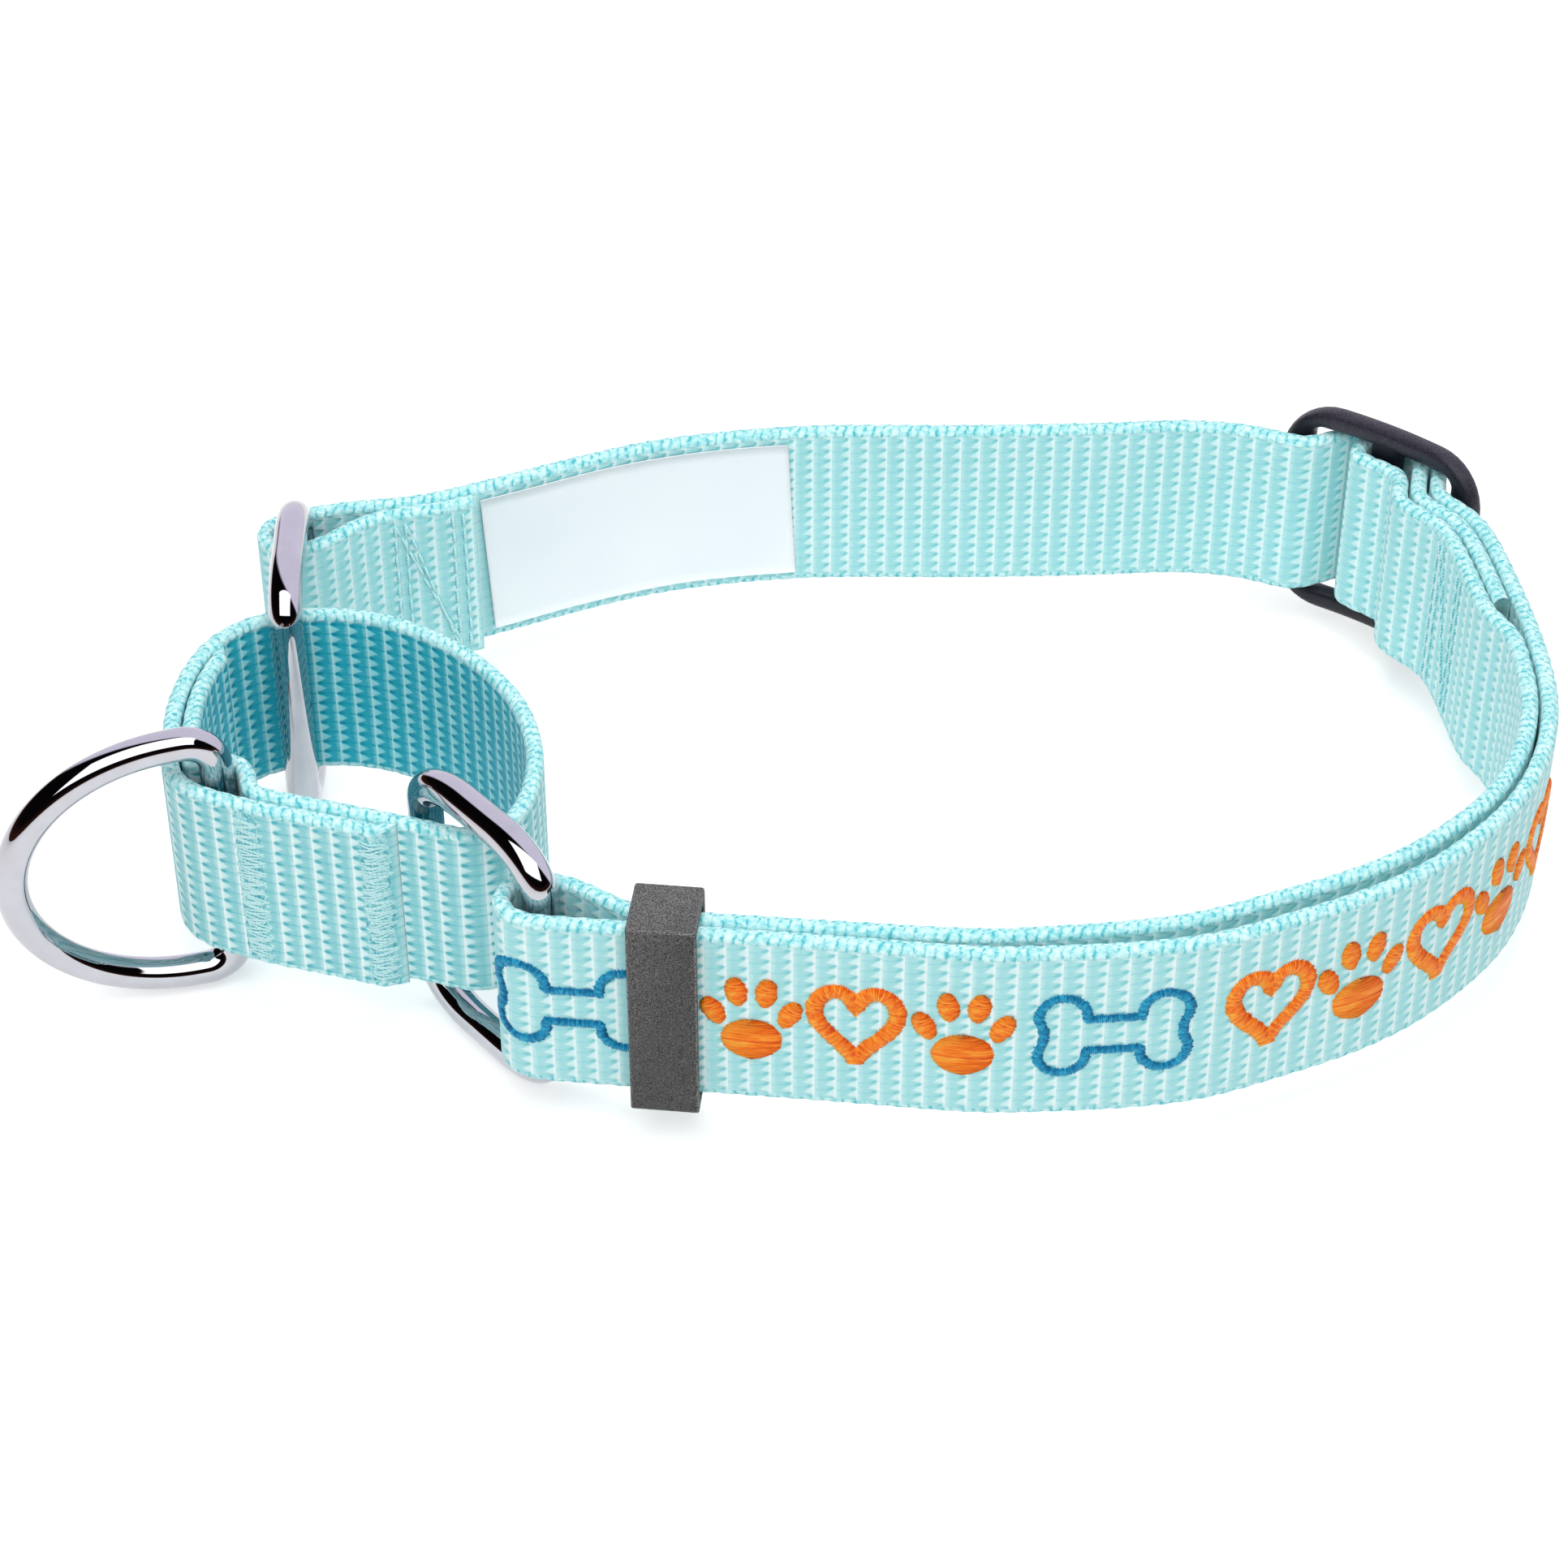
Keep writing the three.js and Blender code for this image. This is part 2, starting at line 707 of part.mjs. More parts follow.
// The faces that carry thread: the points of the layer, and a line along them.
const foldFace = frontFold.slice(0, Math.ceil(frontFold.length / 2));
const frontFace = { points: [...frontPoints, ...foldFace].reverse(), line: neckLine, outside: true };
const tailFace = { points: tailPoints, line: new PlanLine(tailPoints, false), outside: false };
const innerFaceLine = new PlanLine(innerPoints, false);
const sliderFace = { points: innerPoints, line: innerFaceLine, outside: false };
const outerPass = beforePocket.slice(0, Math.round(beforePocket.length / 2));
const loopFace = { points: outerPass, line: loopLine, outside: true };

function boneOutline(grow) {
  const lobe = boneLobeShare * boneHeight;
  const waist = (boneWaistShare * boneHeight) / 2 + grow;
  const radius = lobe - boneStroke / 2 + grow;
  const end = boneLength / 2 - lobe;
  const rise = boneHeight / 2 - lobe;
  const meet = Math.asin(Math.max(Math.min((waist - rise) / radius, 1), -1));
  const notch = Math.asin(Math.min(rise / radius, 1));
  const outline = new THREE.Path();
  outline.absarc(end, rise, radius, Math.PI - meet, -notch, true);
  outline.absarc(end, -rise, radius, notch, -Math.PI + meet, true);
  outline.absarc(-end, -rise, radius, -meet, Math.PI - notch, true);
  outline.absarc(-end, rise, radius, Math.PI + notch, meet, true);
  const points = outline.getPoints(5);
  return points.filter((point, i) => i === 0 || point.distanceTo(points[i - 1]) > trimGap);
}

function bone() {
  const shape = new THREE.Shape(boneOutline(boneStroke / 2).reverse());
  shape.holes.push(new THREE.Path(boneOutline(-boneStroke / 2)));
  return [flatPiece(shape, trimDepth, 1)];
}

function oval(x, y, width, height, turn) {
  const shape = new THREE.Shape();
  shape.absellipse(x, y, width / 2, height / 2, 0, 2 * Math.PI, false, radians(turn));
  return flatPiece(shape, trimDepth, 7);
}

// Paw print: a heel pad and four toes, joined by the thread that travels between them.
const heelWidthShare = 0.62;
const heelHeightShare = 0.46;
const heelDropShare = 0.22;
const toeWidthShare = 0.2;
const toeHeightShare = 0.3;
const toeShares = [
  [-0.38, 0.1, 25],
  [-0.15, 0.34, 8],
  [0.15, 0.34, -8],
  [0.38, 0.1, -25],
];

function paw() {
  const heel = new THREE.Vector2(0, -heelDropShare * motifHeight);
  const pieces = [
    oval(heel.x, heel.y, heelWidthShare * motifWidth, heelHeightShare * motifHeight, 0),
  ];
  toeShares.forEach(([x, y, turn]) => {
    const toe = new THREE.Vector2(x * motifWidth, y * motifHeight);
    pieces.push(oval(toe.x, toe.y, toeWidthShare * motifWidth, toeHeightShare * motifHeight, turn));
    pieces.push(stroke(heel, toe, stitchWidth));
  });
  return pieces;
}

const heartShares = { dip: 0.22, top: 0.5, side: 0.5, low: 0.1, hole: 0.66 };

function heartOutline(outline, share) {
  const half = heartShares.side * motifWidth * share;
  const top = heartShares.top * motifHeight * share;
  const dip = heartShares.dip * motifHeight * share;
  const low = heartShares.low * motifHeight * share;
  const near = half * heartShares.low;
  outline.moveTo(0, -top);
  outline.quadraticCurveTo(half, -low, half, dip);
  outline.bezierCurveTo(half, top, near, top, 0, dip);
  outline.bezierCurveTo(-near, top, -half, top, -half, dip);
  outline.quadraticCurveTo(-half, -low, 0, -top);
  return outline;
}

function heart() {
  const shape = heartOutline(new THREE.Shape(), 1);
  shape.holes.push(heartOutline(new THREE.Path(), heartShares.hole));
  return [flatPiece(shape, trimDepth, 6)];
}

function addEmbroidery(name, flats, place, colour) {
  addPart(name, onFace(flats, frontFace, place), colour, 0.55, 0);
}

addEmbroidery('bone_outline_1', bone(), firstBonePlace, boneBlue);
addEmbroidery('bone_outline_2', bone(), secondBonePlace, boneBlue);

function addMotifs(kinds, start, firstNumber) {
  kinds.forEach((kind, i) => {
    const flats = kind === 'paw' ? paw() : heart();
    addEmbroidery(`motif_${firstNumber + i}`, flats, start + motifPitch * i, motifOrange);
  });
}

addMotifs(frontMotifs, firstMotifPlace, 1);
addMotifs(sideMotifs, sideMotifPlace, 1 + frontMotifs.length);

// Seams: zigzag tacks on the control loop, and N-shaped seams on the two sewn tails.
function zigzag(width, turns) {
  const rise = webbingWidth - 2 * stitchMargin;
  return Array.from({ length: turns + 1 }, (_, i) => {
    const side = i % 2 === 0 ? -1 : 1;
    return new THREE.Vector2((side * width) / 2, (rise * i) / turns - rise / 2);
  });
}

function slantedSeam(width) {
  const rise = webbingWidth / 2 - stitchMargin;
  const half = width / 2;
  const corners = [[-half, -rise], [-half, rise], [half, -rise], [half, rise]];
  return corners.map(([x, y]) => new THREE.Vector2(x, y));
}

function addSeam(name, points, face, place) {
  addPart(name, onFace(strokes(points), face, place), seamAqua, 0.7, 0);
}

const tack = zigzag(tackWidth, tackTurns);
addSeam('leash_tack', tack, loopFace, leftTackShare * loopLine.length);
addSeam('front_tack', tack, loopFace, frontTackShare * loopLine.length);
addSeam('tail_seam', slantedSeam(tailSeamWidth), tailFace, tailSeamPlace);
addSeam('slider_seam', slantedSeam(sliderSeamWidth), sliderFace, innerFaceLine.length - sliderSeamPlace);

// The origin is under the middle of the collar, on the surface that it rests on.
const box = new THREE.Box3().setFromObject(collar, true);
const middle = box.getCenter(new THREE.Vector3());
collar.position.set(-middle.x, -middle.y, -box.min.z);

export default collar;
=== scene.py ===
# Looks of the martingale collar: woven webbing, chromed wire rings, moulded slider and keeper,
# a satin label and satin-stitched embroidery, in metres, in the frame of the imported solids.
import json
import math

import bmesh
import bpy
import numpy as np
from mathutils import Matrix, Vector


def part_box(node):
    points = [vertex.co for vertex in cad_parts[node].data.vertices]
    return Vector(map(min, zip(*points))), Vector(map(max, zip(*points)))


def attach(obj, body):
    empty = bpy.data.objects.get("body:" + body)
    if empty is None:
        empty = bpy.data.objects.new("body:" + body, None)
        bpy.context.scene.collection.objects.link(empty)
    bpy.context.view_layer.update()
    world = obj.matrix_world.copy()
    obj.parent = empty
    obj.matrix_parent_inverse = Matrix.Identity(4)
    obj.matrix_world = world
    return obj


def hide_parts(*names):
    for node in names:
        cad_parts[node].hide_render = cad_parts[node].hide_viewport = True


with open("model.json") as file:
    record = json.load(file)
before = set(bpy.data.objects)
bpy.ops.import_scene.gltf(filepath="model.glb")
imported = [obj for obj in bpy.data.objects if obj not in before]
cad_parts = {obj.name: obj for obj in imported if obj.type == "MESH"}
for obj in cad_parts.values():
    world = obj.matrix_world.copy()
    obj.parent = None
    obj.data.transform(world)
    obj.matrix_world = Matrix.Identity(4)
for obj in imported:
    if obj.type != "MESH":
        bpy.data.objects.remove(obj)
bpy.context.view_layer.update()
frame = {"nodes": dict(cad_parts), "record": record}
joints = {joint["name"]: joint for joint in frame["record"]["behaviour"]["joints"]}
rng = np.random.default_rng(7)

MM = 0.001

# Webbing: its width, half its thickness, the pitch of its columns and of its rows
WIDTH = 25.4 * MM
HALF = 1.1 * MM
COLUMN = 2.6 * MM
ROW = 1.6 * MM
MID = joints["slider_tilt"]["pos_m"][2]
SETTLE = 1.2 * MM
END_TAPER = 2.6 * MM

# Weave: how far a tooth reaches over its column, and the places of its colours, which run from painted
# shade in the notches to a painted highlight on the teeth
TOOTH = 0.5
WEAVE_STOPS = (0.05, 0.36, 0.68, 0.95)
MAIN_COLOURS = ((132, 211, 216), (168, 226, 229), (208, 243, 244), (236, 252, 252))
# The loop's colours are darker copies of the main strap's, as painted shade; those of its inner face
# paint the deep shade inside the loop.
LOOP_SHADED_COLOURS = ((84, 180, 192), (144, 212, 217), (204, 240, 242), (238, 252, 252))
LOOP_INNER_SHADED_COLOURS = ((0, 150, 174), (34, 180, 200), (150, 228, 234), (200, 245, 248))

# Rings
RING_WIRE = 4.4 * MM
RING_SPAN = 23.4 * MM
RING_BAR = 25.8 * MM
RING_ARCH = 4.5 * MM
RING_SHOULDER = 8 * MM
FRONT_TURN = 129.5
BACK_TURN = 272.5
LEASH_WIRE = 4.2 * MM
LEASH_HEIGHT = 39.8 * MM
LEASH_REACH = 26.6 * MM
LEASH_LIMB = 5 * MM
LEASH_CORNER = 4 * MM
LEASH_TURN = 197

# Slider
SLIDER_HEIGHT = 32.8 * MM
SLIDER_THICKNESS = 3 * MM
SLIDER_CORNER = 8 * MM
END_BAR = 4.5 * MM
CENTRE_BAR = 4.8 * MM
SLOT = 8.6 * MM
SLOT_HEIGHT = 26.6 * MM
SLOT_CORNER = 1.2 * MM

# Embroidery and stitching
BONE_LENGTH = 19 * MM
BONE_HEIGHT = 12.8 * MM
BONE_STROKE = 1.2 * MM
MOTIF_WIDTH = 12 * MM
MOTIF_HEIGHT = 13 * MM
MOTIF_STROKE = 2.1 * MM
THREAD_PITCH = 0.24 * MM
THREAD_RISE = 0.42 * MM
SEAM_THREAD = 0.62 * MM
SEAM_STITCH = 2.5 * MM
SEAM_MARGIN = 1.6 * MM
TACK_THREAD = 0.46 * MM
TACK_WIDTH = 4.2 * MM
TACK_BED_WIDTH = 3.8 * MM
TAIL_SEAM_WIDTH = 9.4 * MM
SLIDER_SEAM_WIDTH = 10 * MM

# Label: the solid's thickness, half the ribbon's, and its lean along the strap for each unit of height
LABEL_THICKNESS = 0.3 * MM
LABEL_HALF = 0.11 * MM
LABEL_STEP = 0.8 * MM
LABEL_LEAN = -0.05


def colour(r, g, b):
    """A linear colour from an 8-bit one."""
    def linear(value):
        v = value / 255
        return v / 12.92 if v <= 0.04045 else ((v + 0.055) / 1.055) ** 2.4
    return (linear(r), linear(g), linear(b), 1)


# Materials

class Nodes:
    """Short ways to add nodes to a material's tree."""

    def __init__(self, tree):
        self.tree = tree

    def add(self, kind, **values):
        node = self.tree.nodes.new(kind)
        for key, value in values.items():
            setattr(node, key, value)
        return node

    def feed(self, socket, value):
        if isinstance(value, bpy.types.NodeSocket):
            self.tree.links.new(value, socket)
        else:
            socket.default_value = value

    def math(self, operation, *values, clamp=False):
        node = self.add("ShaderNodeMath", operation=operation, use_clamp=clamp)
        for socket, value in zip(node.inputs, values):
            self.feed(socket, value)
        return node.outputs[0]

    def smooth(self, value, start, end, low=0.0, high=1.0):
        """From low to high, smoothly, as the value goes from start to end."""
        node = self.add("ShaderNodeMapRange", interpolation_type="SMOOTHSTEP")
        for name, number in (("Value", value), ("From Min", start), ("From Max", end),
                             ("To Min", low), ("To Max", high)):
            self.feed(node.inputs[name], number)
        return node.outputs["Result"]

    def parts(self, vector):
        node = self.add("ShaderNodeSeparateXYZ")
        self.feed(node.inputs[0], vector)
        return node.outputs

    def attribute(self, name):
        return self.add("ShaderNodeAttribute", attribute_name=name).outputs["Vector"]

    def place(self):
        return self.add("ShaderNodeTexCoord").outputs["Object"]

    def scaled(self, vector, scale):
        node = self.add("ShaderNodeVectorMath", operation="MULTIPLY")
        self.feed(node.inputs[0], vector)
        node.inputs[1].default_value = scale
        return node.outputs[0]

    def noise(self, vector, scale, detail=3.0, roughness=0.6):
        node = self.add("ShaderNodeTexNoise")
        for name, value in (("Vector", vector), ("Scale", scale), ("Detail", detail),
                            ("Roughness", roughness)):
            self.feed(node.inputs[name], value)
        return node.outputs["Fac"]

    def random(self, value):
        node = self.add("ShaderNodeTexWhiteNoise", noise_dimensions="1D")
        self.feed(node.inputs["W"], value)
        return node.outputs["Value"]

    def ramp(self, factor, stops):
        node = self.add("ShaderNodeValToRGB")
        points = node.color_ramp.elements
        while len(points) < len(stops):
            points.new(0.5)
        for point, (place, shade) in zip(points, stops):
            point.position = place
            point.color = shade
        self.feed(node.inputs["Fac"], factor)
        return node.outputs["Color"]

    def mix(self, factor, a, b):
        node = self.add("ShaderNodeMix", data_type="RGBA")
        for socket, value in ((node.inputs[0], factor), (node.inputs[6], a), (node.inputs[7], b)):
            self.feed(socket, value)
        return node.outputs[2]

    def bump(self, height, strength, distance):
        node = self.add("ShaderNodeBump")
        node.inputs["Strength"].default_value = strength
        node.inputs["Distance"].default_value = distance
        self.feed(node.inputs["Height"], height)
        return node.outputs["Normal"]


def material(name, roughness, metallic=0.0):
    mat = bpy.data.materials.new(name)
    mat.use_nodes = True
    shader = mat.node_tree.nodes["Principled BSDF"]
    shader.inputs["Roughness"].default_value = roughness
    shader.inputs["Metallic"].default_value = metallic
    return mat, Nodes(mat.node_tree), shader


def weave_pattern(n, along, across, facing, slant):
    """Columns of yarn: a raised line with teeth on one side of it, and a flat float to the next."""
    column = n.math("DIVIDE", along, COLUMN)
    wander = n.math("MULTIPLY", n.random(n.math("FLOOR", column)), 0.2)
    forward = n.math("GREATER_THAN", facing, 0.0)
    w = n.math("ABSOLUTE", n.math("SUBTRACT", forward, n.math("FRACT", column)))
    row = n.math("ADD", n.math("DIVIDE", across, ROW), wander)
    ragged = n.noise(n.scaled(n.attribute("weave"), (500, 500, 900)), 1.0, 2.0, 0.6)
    w = n.math("MULTIPLY_ADD", n.math("SUBTRACT", ragged, 0.5), 0.22, w)
    v = n.math("FRACT", n.math("MULTIPLY_ADD", n.smooth(w, 0.0, 0.7), slant, row))
    away = n.math("ABSOLUTE", n.math("SUBTRACT", v, 0.5))
    spare = n.math("SUBTRACT", n.math("MULTIPLY_ADD", w, -0.5 / TOOTH, 0.58), away)
    tooth = n.smooth(spare, -0.1, 0.2)
    line = n.math("MAXIMUM", n.smooth(w, 0.0, 0.22, 1.0, 0.0), n.smooth(w, 0.7, 1.02))
    line = n.math("MULTIPLY", line, n.smooth(away, 0.3, 0.5, 1.0, 0.78))
    narrow = n.smooth(w, 0.1, 0.7, 0.2, 0.36)
    notch = n.math("MULTIPLY", n.smooth(away, narrow, 0.5), n.smooth(w, 0.06, 0.18))
    notch = n.math("MULTIPLY", notch, n.smooth(w, 0.22, 0.56, 1.0, 0.0))
    gap = n.math("MULTIPLY", n.smooth(away, 0.32, 0.5), n.smooth(w, 0.3, 0.6))
    return tooth, line, notch, gap


def webbing_material(name, slant, outer, inner):
    """Woven webbing: outer and inner are the colours of each face, from the painted shade of its notches
    to the painted highlight on its teeth.
    """
    mat, n, shader = material(name, 0.6)
    weave = n.attribute("weave")
    along, across, facing = n.parts(weave)[:3]
    tooth, line, notch, gap = weave_pattern(n, along, across, facing, slant)
    fibre = n.noise(n.scaled(weave, (900, 3600, 700)), 1.0, 3.0, 0.7)
    patch = n.noise(weave, 190.0, 2.0)
    # The weave's tone: painted highlight on the teeth and raised lines, painted shade in the notches and
    # the gaps between floats, and random tone from the fibre and patch noise.
    shade = n.math("MULTIPLY_ADD", tooth, 0.36, n.math("MULTIPLY", line, 0.24))
    shade = n.math("MULTIPLY_ADD", fibre, 0.34, shade)
    shade = n.math("MULTIPLY_ADD", patch, 0.14, n.math("ADD", shade, 0.12))
    shade = n.math("SUBTRACT", shade, n.math("MULTIPLY", notch, 0.46))
    shade = n.math("SUBTRACT", shade, n.math("MULTIPLY", gap, 0.12), clamp=True)
    faces = [n.ramp(shade, list(zip(WEAVE_STOPS, [colour(*shade_of) for shade_of in side])))
             for side in (inner, outer)]
    face = n.mix(n.math("GREATER_THAN", facing, 0.0), *faces)
    edge = n.smooth(n.math("ABSOLUTE", across), WIDTH / 2 - 1.25 * HALF, WIDTH / 2 - 0.85 * HALF)
    round_edge = n.math("MULTIPLY", facing, HALF)
    plait = n.add("ShaderNodeCombineXYZ")
    for socket, value in zip(plait.inputs, (along, across, round_edge)):
        n.feed(socket, value)
    tangle = n.noise(n.scaled(plait.outputs[0], (520, 520, 700)), 1.0, 2.0, 0.6)
    cell = n.math("MULTIPLY_ADD", n.math("GREATER_THAN", facing, 0.0), 0.5,
                  n.math("DIVIDE", along, COLUMN / 2))
    cell = n.math("MULTIPLY_ADD", tangle, 1.1, n.math("MULTIPLY_ADD", facing, 0.3, cell))
    strand = n.math("ABSOLUTE", n.math("SINE", n.math("MULTIPLY", cell, math.pi)))
    sparse = n.noise(n.scaled(plait.outputs[0], (800, 800, 1600)), 1.0, 2.0, 0.6)
    crevice_shade = n.math("MULTIPLY", n.smooth(strand, 0.05, 0.6, 1.0, 0.0), n.smooth(sparse, 0.36, 0.62))
    curl = n.noise(n.scaled(plait.outputs[0], (1300, 1300, 1900)), 1.0, 3.0, 0.62)
    # The selvedge's tone: a painted highlight on the tops of its strands, painted shade in the crevices
    # between them, and random tone from the curl noise.
    twist = n.math("MULTIPLY_ADD", strand, 0.22, n.smooth(curl, 0.28, 0.72, 0.12, 0.72))
    twist = n.math("SUBTRACT", twist, n.math("MULTIPLY", crevice_shade, 0.45), clamp=True)
    selvedge = n.ramp(twist, [(0.0, colour(86, 188, 200)), (0.3, colour(140, 216, 221)),
                              (0.55, colour(182, 234, 237)), (0.9, colour(224, 251, 251))])
    n.feed(shader.inputs["Base Color"], n.mix(edge, face, selvedge))
    relief = n.add("ShaderNodeMix", data_type="FLOAT")
    n.feed(relief.inputs[0], edge)
    raised = n.math("MAXIMUM", tooth, n.math("MULTIPLY", line, 0.9))
    raised = n.math("MULTIPLY_ADD", raised, 0.6, n.math("MULTIPLY", fibre, 0.25))
    n.feed(relief.inputs[2], n.math("SUBTRACT", raised, n.math("MULTIPLY", notch, 0.2)))
    n.feed(relief.inputs[3], n.math("MULTIPLY_ADD", curl, 1.2, n.math("MULTIPLY", strand, 0.4)))
    n.feed(shader.inputs["Normal"], n.bump(relief.outputs[0], 0.7, 0.2 * MM))
    shader.inputs["Sheen Weight"].default_value = 0.12
    shader.inputs["Sheen Roughness"].default_value = 0.45
    shader.inputs["Specular IOR Level"].default_value = 0.25
    return mat


def chrome_material(name, weld=None):
    """Polished plating; a weld is a small dark spot where the wire's ends meet."""
    mat, n, shader = material(name, 0.05, 1.0)
    place = n.place()
    haze = n.noise(place, 260.0, 4.0)
    plate = n.ramp(haze, [(0.3, colour(179, 178, 184)), (0.7, colour(186, 186, 192))])
    rough = n.math("MULTIPLY_ADD", haze, 0.02, 0.02)
    if weld is not None:
        away = n.add("ShaderNodeVectorMath", operation="DISTANCE")
        n.feed(away.inputs[0], place)
        away.inputs[1].default_value = weld
        spot = n.smooth(away.outputs["Value"], 0.35 * MM, 0.75 * MM, 1.0, 0.0)
        plate = n.mix(spot, plate, colour(70, 58, 56))
        rough = n.math("MULTIPLY_ADD", spot, 0.4, rough)
    n.feed(shader.inputs["Base Color"], plate)
    n.feed(shader.inputs["Roughness"], rough)
    return mat


def moulded_material(name, dark, light, top, worn, grain, rough, bump):
    """Moulded plastic: its grain shows on the faces that look up, which are also lightened as painted
    light from above, and its edges are rubbed pale.
    """
    mat, n, shader = material(name, rough)
    place = n.place()
    fine = n.noise(place, grain, 5.0, 0.7)
    broad = n.noise(place, grain / 14, 2.0)
    shade = n.math("MULTIPLY_ADD", fine, 0.6, n.math("MULTIPLY", broad, 0.4))
    # The attribute's first value marks edges rubbed pale; its second marks the faces that look up,
    # lightened below as painted light from above.
    edge, upward = n.parts(n.attribute("wear"))[:2]
    base = n.ramp(shade, [(0.32, dark), (0.7, light)])
    lit_top_tone = n.mix(n.smooth(fine, 0.35, 0.65), light, top)
    base = n.mix(upward, base, lit_top_tone)
    rubbed = n.math("MULTIPLY", edge, n.smooth(fine, 0.42, 0.6), clamp=True)
    n.feed(shader.inputs["Base Color"], n.mix(rubbed, base, worn))
    n.feed(shader.inputs["Roughness"], n.math("MULTIPLY_ADD", fine, 0.25, rough - 0.12))
    shader.inputs["Specular IOR Level"].default_value = 0.3
    relief = n.math("MULTIPLY", fine, n.math("MULTIPLY_ADD", upward, 0.75, 0.25))
    n.feed(shader.inputs["Normal"], n.bump(relief, bump, 0.06 * MM))
    return mat


def satin_material(name, deep, base, high):
    """Satin stitch: threads side by side across the stroke, each with its own tone; the grooves between
    them are darkened as painted shade, and one side of the stroke is lightened as painted light.
    """
    mat, n, shader = material(name, 0.42)
    stitch = n.parts(n.attribute("stitch"))
    along, tilt = stitch[0], stitch[2]
    turns = n.math("DIVIDE", along, THREAD_PITCH)
    thread = n.math("ABSOLUTE", n.math("SINE", n.math("MULTIPLY", turns, math.pi)))
    own = n.random(n.math("FLOOR", turns))
    strands = n.noise(n.scaled(n.attribute("stitch"), (2400, 800, 0)), 1.0, 3.0, 0.75)
    shade = n.math("MULTIPLY_ADD", thread, 0.26, n.math("MULTIPLY", own, 0.2))
    shade = n.math("MULTIPLY_ADD", n.smooth(strands, 0.3, 0.7), 0.42, n.math("ADD", shade, 0.04))
    # tilt carries painted light: it lightens the side of each stroke that faces one fixed direction and
    # darkens the opposite side.
    shade = n.math("ADD", shade, n.math("MULTIPLY", tilt, 0.2), clamp=True)
    n.feed(shader.inputs["Base Color"], n.ramp(shade, [(0.12, deep), (0.48, base), (0.85, high)]))
    n.feed(shader.inputs["Normal"], n.bump(n.math("ADD", thread, strands), 0.6, 0.08 * MM))
    shader.inputs["Specular IOR Level"].default_value = 0.22
    return mat


def label_material():
    mat, n, shader = material("label", 0.45)
    weave = n.attribute("weave")
    rib = n.noise(n.scaled(weave, (1800, 9000, 1800)), 1.0, 2.0)
    fold = n.noise(weave, 60.0, 1.0)
    shade = n.math("MULTIPLY_ADD", rib, 0.5, n.math("MULTIPLY", fold, 0.5))
    n.feed(shader.inputs["Base Color"],
           n.ramp(shade, [(0.3, colour(240, 246, 252)), (0.7, colour(250, 253, 255))]))
    n.feed(shader.inputs["Normal"], n.bump(rib, 0.2, 0.04 * MM))
    return mat


def seam_material():
    """Twisted thread, with painted shade along its sides where it sinks into the webbing and a painted
    highlight along its crown.
    """
    mat, n, shader = material("seam_thread", 0.5)
    stitch = n.parts(n.attribute("stitch"))
    along, tilt = stitch[0], stitch[2]
    ply = n.math("MULTIPLY_ADD", tilt, 0.35, n.math("DIVIDE", along, 0.5 * MM))
    twist = n.math("ABSOLUTE", n.math("SINE", n.math("MULTIPLY", ply, math.pi)))
    speck = n.noise(n.place(), 2400.0, 2.0, 0.7)
    # top is painted light: the thread's crown is lightened and its sides darkened.
    top = n.smooth(n.math("ABSOLUTE", tilt), 0.35, 0.9, 1.0, 0.0)
    shade = n.math("MULTIPLY_ADD", twist, 0.25, n.math("MULTIPLY", top, 0.5))
    shade = n.math("MULTIPLY_ADD", speck, 0.4, n.math("SUBTRACT", shade, 0.08), clamp=True)
    n.feed(shader.inputs["Base Color"],
           n.ramp(shade, [(0.12, colour(70, 168, 182)), (0.4, colour(140, 212, 217)),
                          (0.8, colour(204, 240, 241))]))
    n.feed(shader.inputs["Normal"], n.bump(twist, 0.5, 0.06 * MM))
    return mat


def bed_material():
    """Webbing pulled into a tangle by dense stitching, its dark specks painted shade among the tangled
    yarn.
    """
    mat, n, shader = material("stitched_webbing", 0.6)
    place = n.place()
    speck = n.noise(n.scaled(place, (1500, 1500, 900)), 1.0, 3.0, 0.65)
    fine = n.noise(place, 3800.0, 2.0)
    shade = n.math("MULTIPLY_ADD", fine, 0.3, n.math("MULTIPLY", speck, 0.7))
    n.feed(shader.inputs["Base Color"],
           n.ramp(shade, [(0.38, colour(52, 148, 166)), (0.47, colour(128, 204, 211)),
                          (0.62, colour(204, 240, 242))]))
    n.feed(shader.inputs["Normal"], n.bump(shade, 0.8, 0.2 * MM))
    return mat


# Meshes

def mesh_piece(name, vertices, faces, mat, body, replaces=None, attributes=None):
    mesh = bpy.data.meshes.new(name)
    mesh.from_pydata([tuple(map(float, v)) for v in vertices], [], faces)
    mesh.shade_smooth()
    for key, values in (attributes or {}).items():
        layer = mesh.attributes.new(key, "FLOAT_VECTOR", "POINT")
        layer.data.foreach_set("vector", np.asarray(values, dtype=np.float32).ravel())
    return dressed(name, mesh, mat, body, replaces)


def dressed(name, mesh, mat, body, replaces):
    obj = bpy.data.objects.new(name, mesh)
    bpy.context.collection.objects.link(obj)
    mesh.materials.clear()
    mesh.materials.append(mat)
    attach(obj, body)
    if replaces:
        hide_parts(replaces)
    return obj


def grid_faces(rows, columns, wrap_rows=False, wrap_columns=False, start=0):
    """Quads over a grid of vertices numbered row by row."""
    faces = []
    for i in range(rows if wrap_rows else rows - 1):
        a = start + i * columns
        b = start + (i + 1) % rows * columns
        for j in range(columns if wrap_columns else columns - 1):
            k = (j + 1) % columns
            faces.append((a + j, a + k, b + k, b + j))
    return faces


# Lines in plan

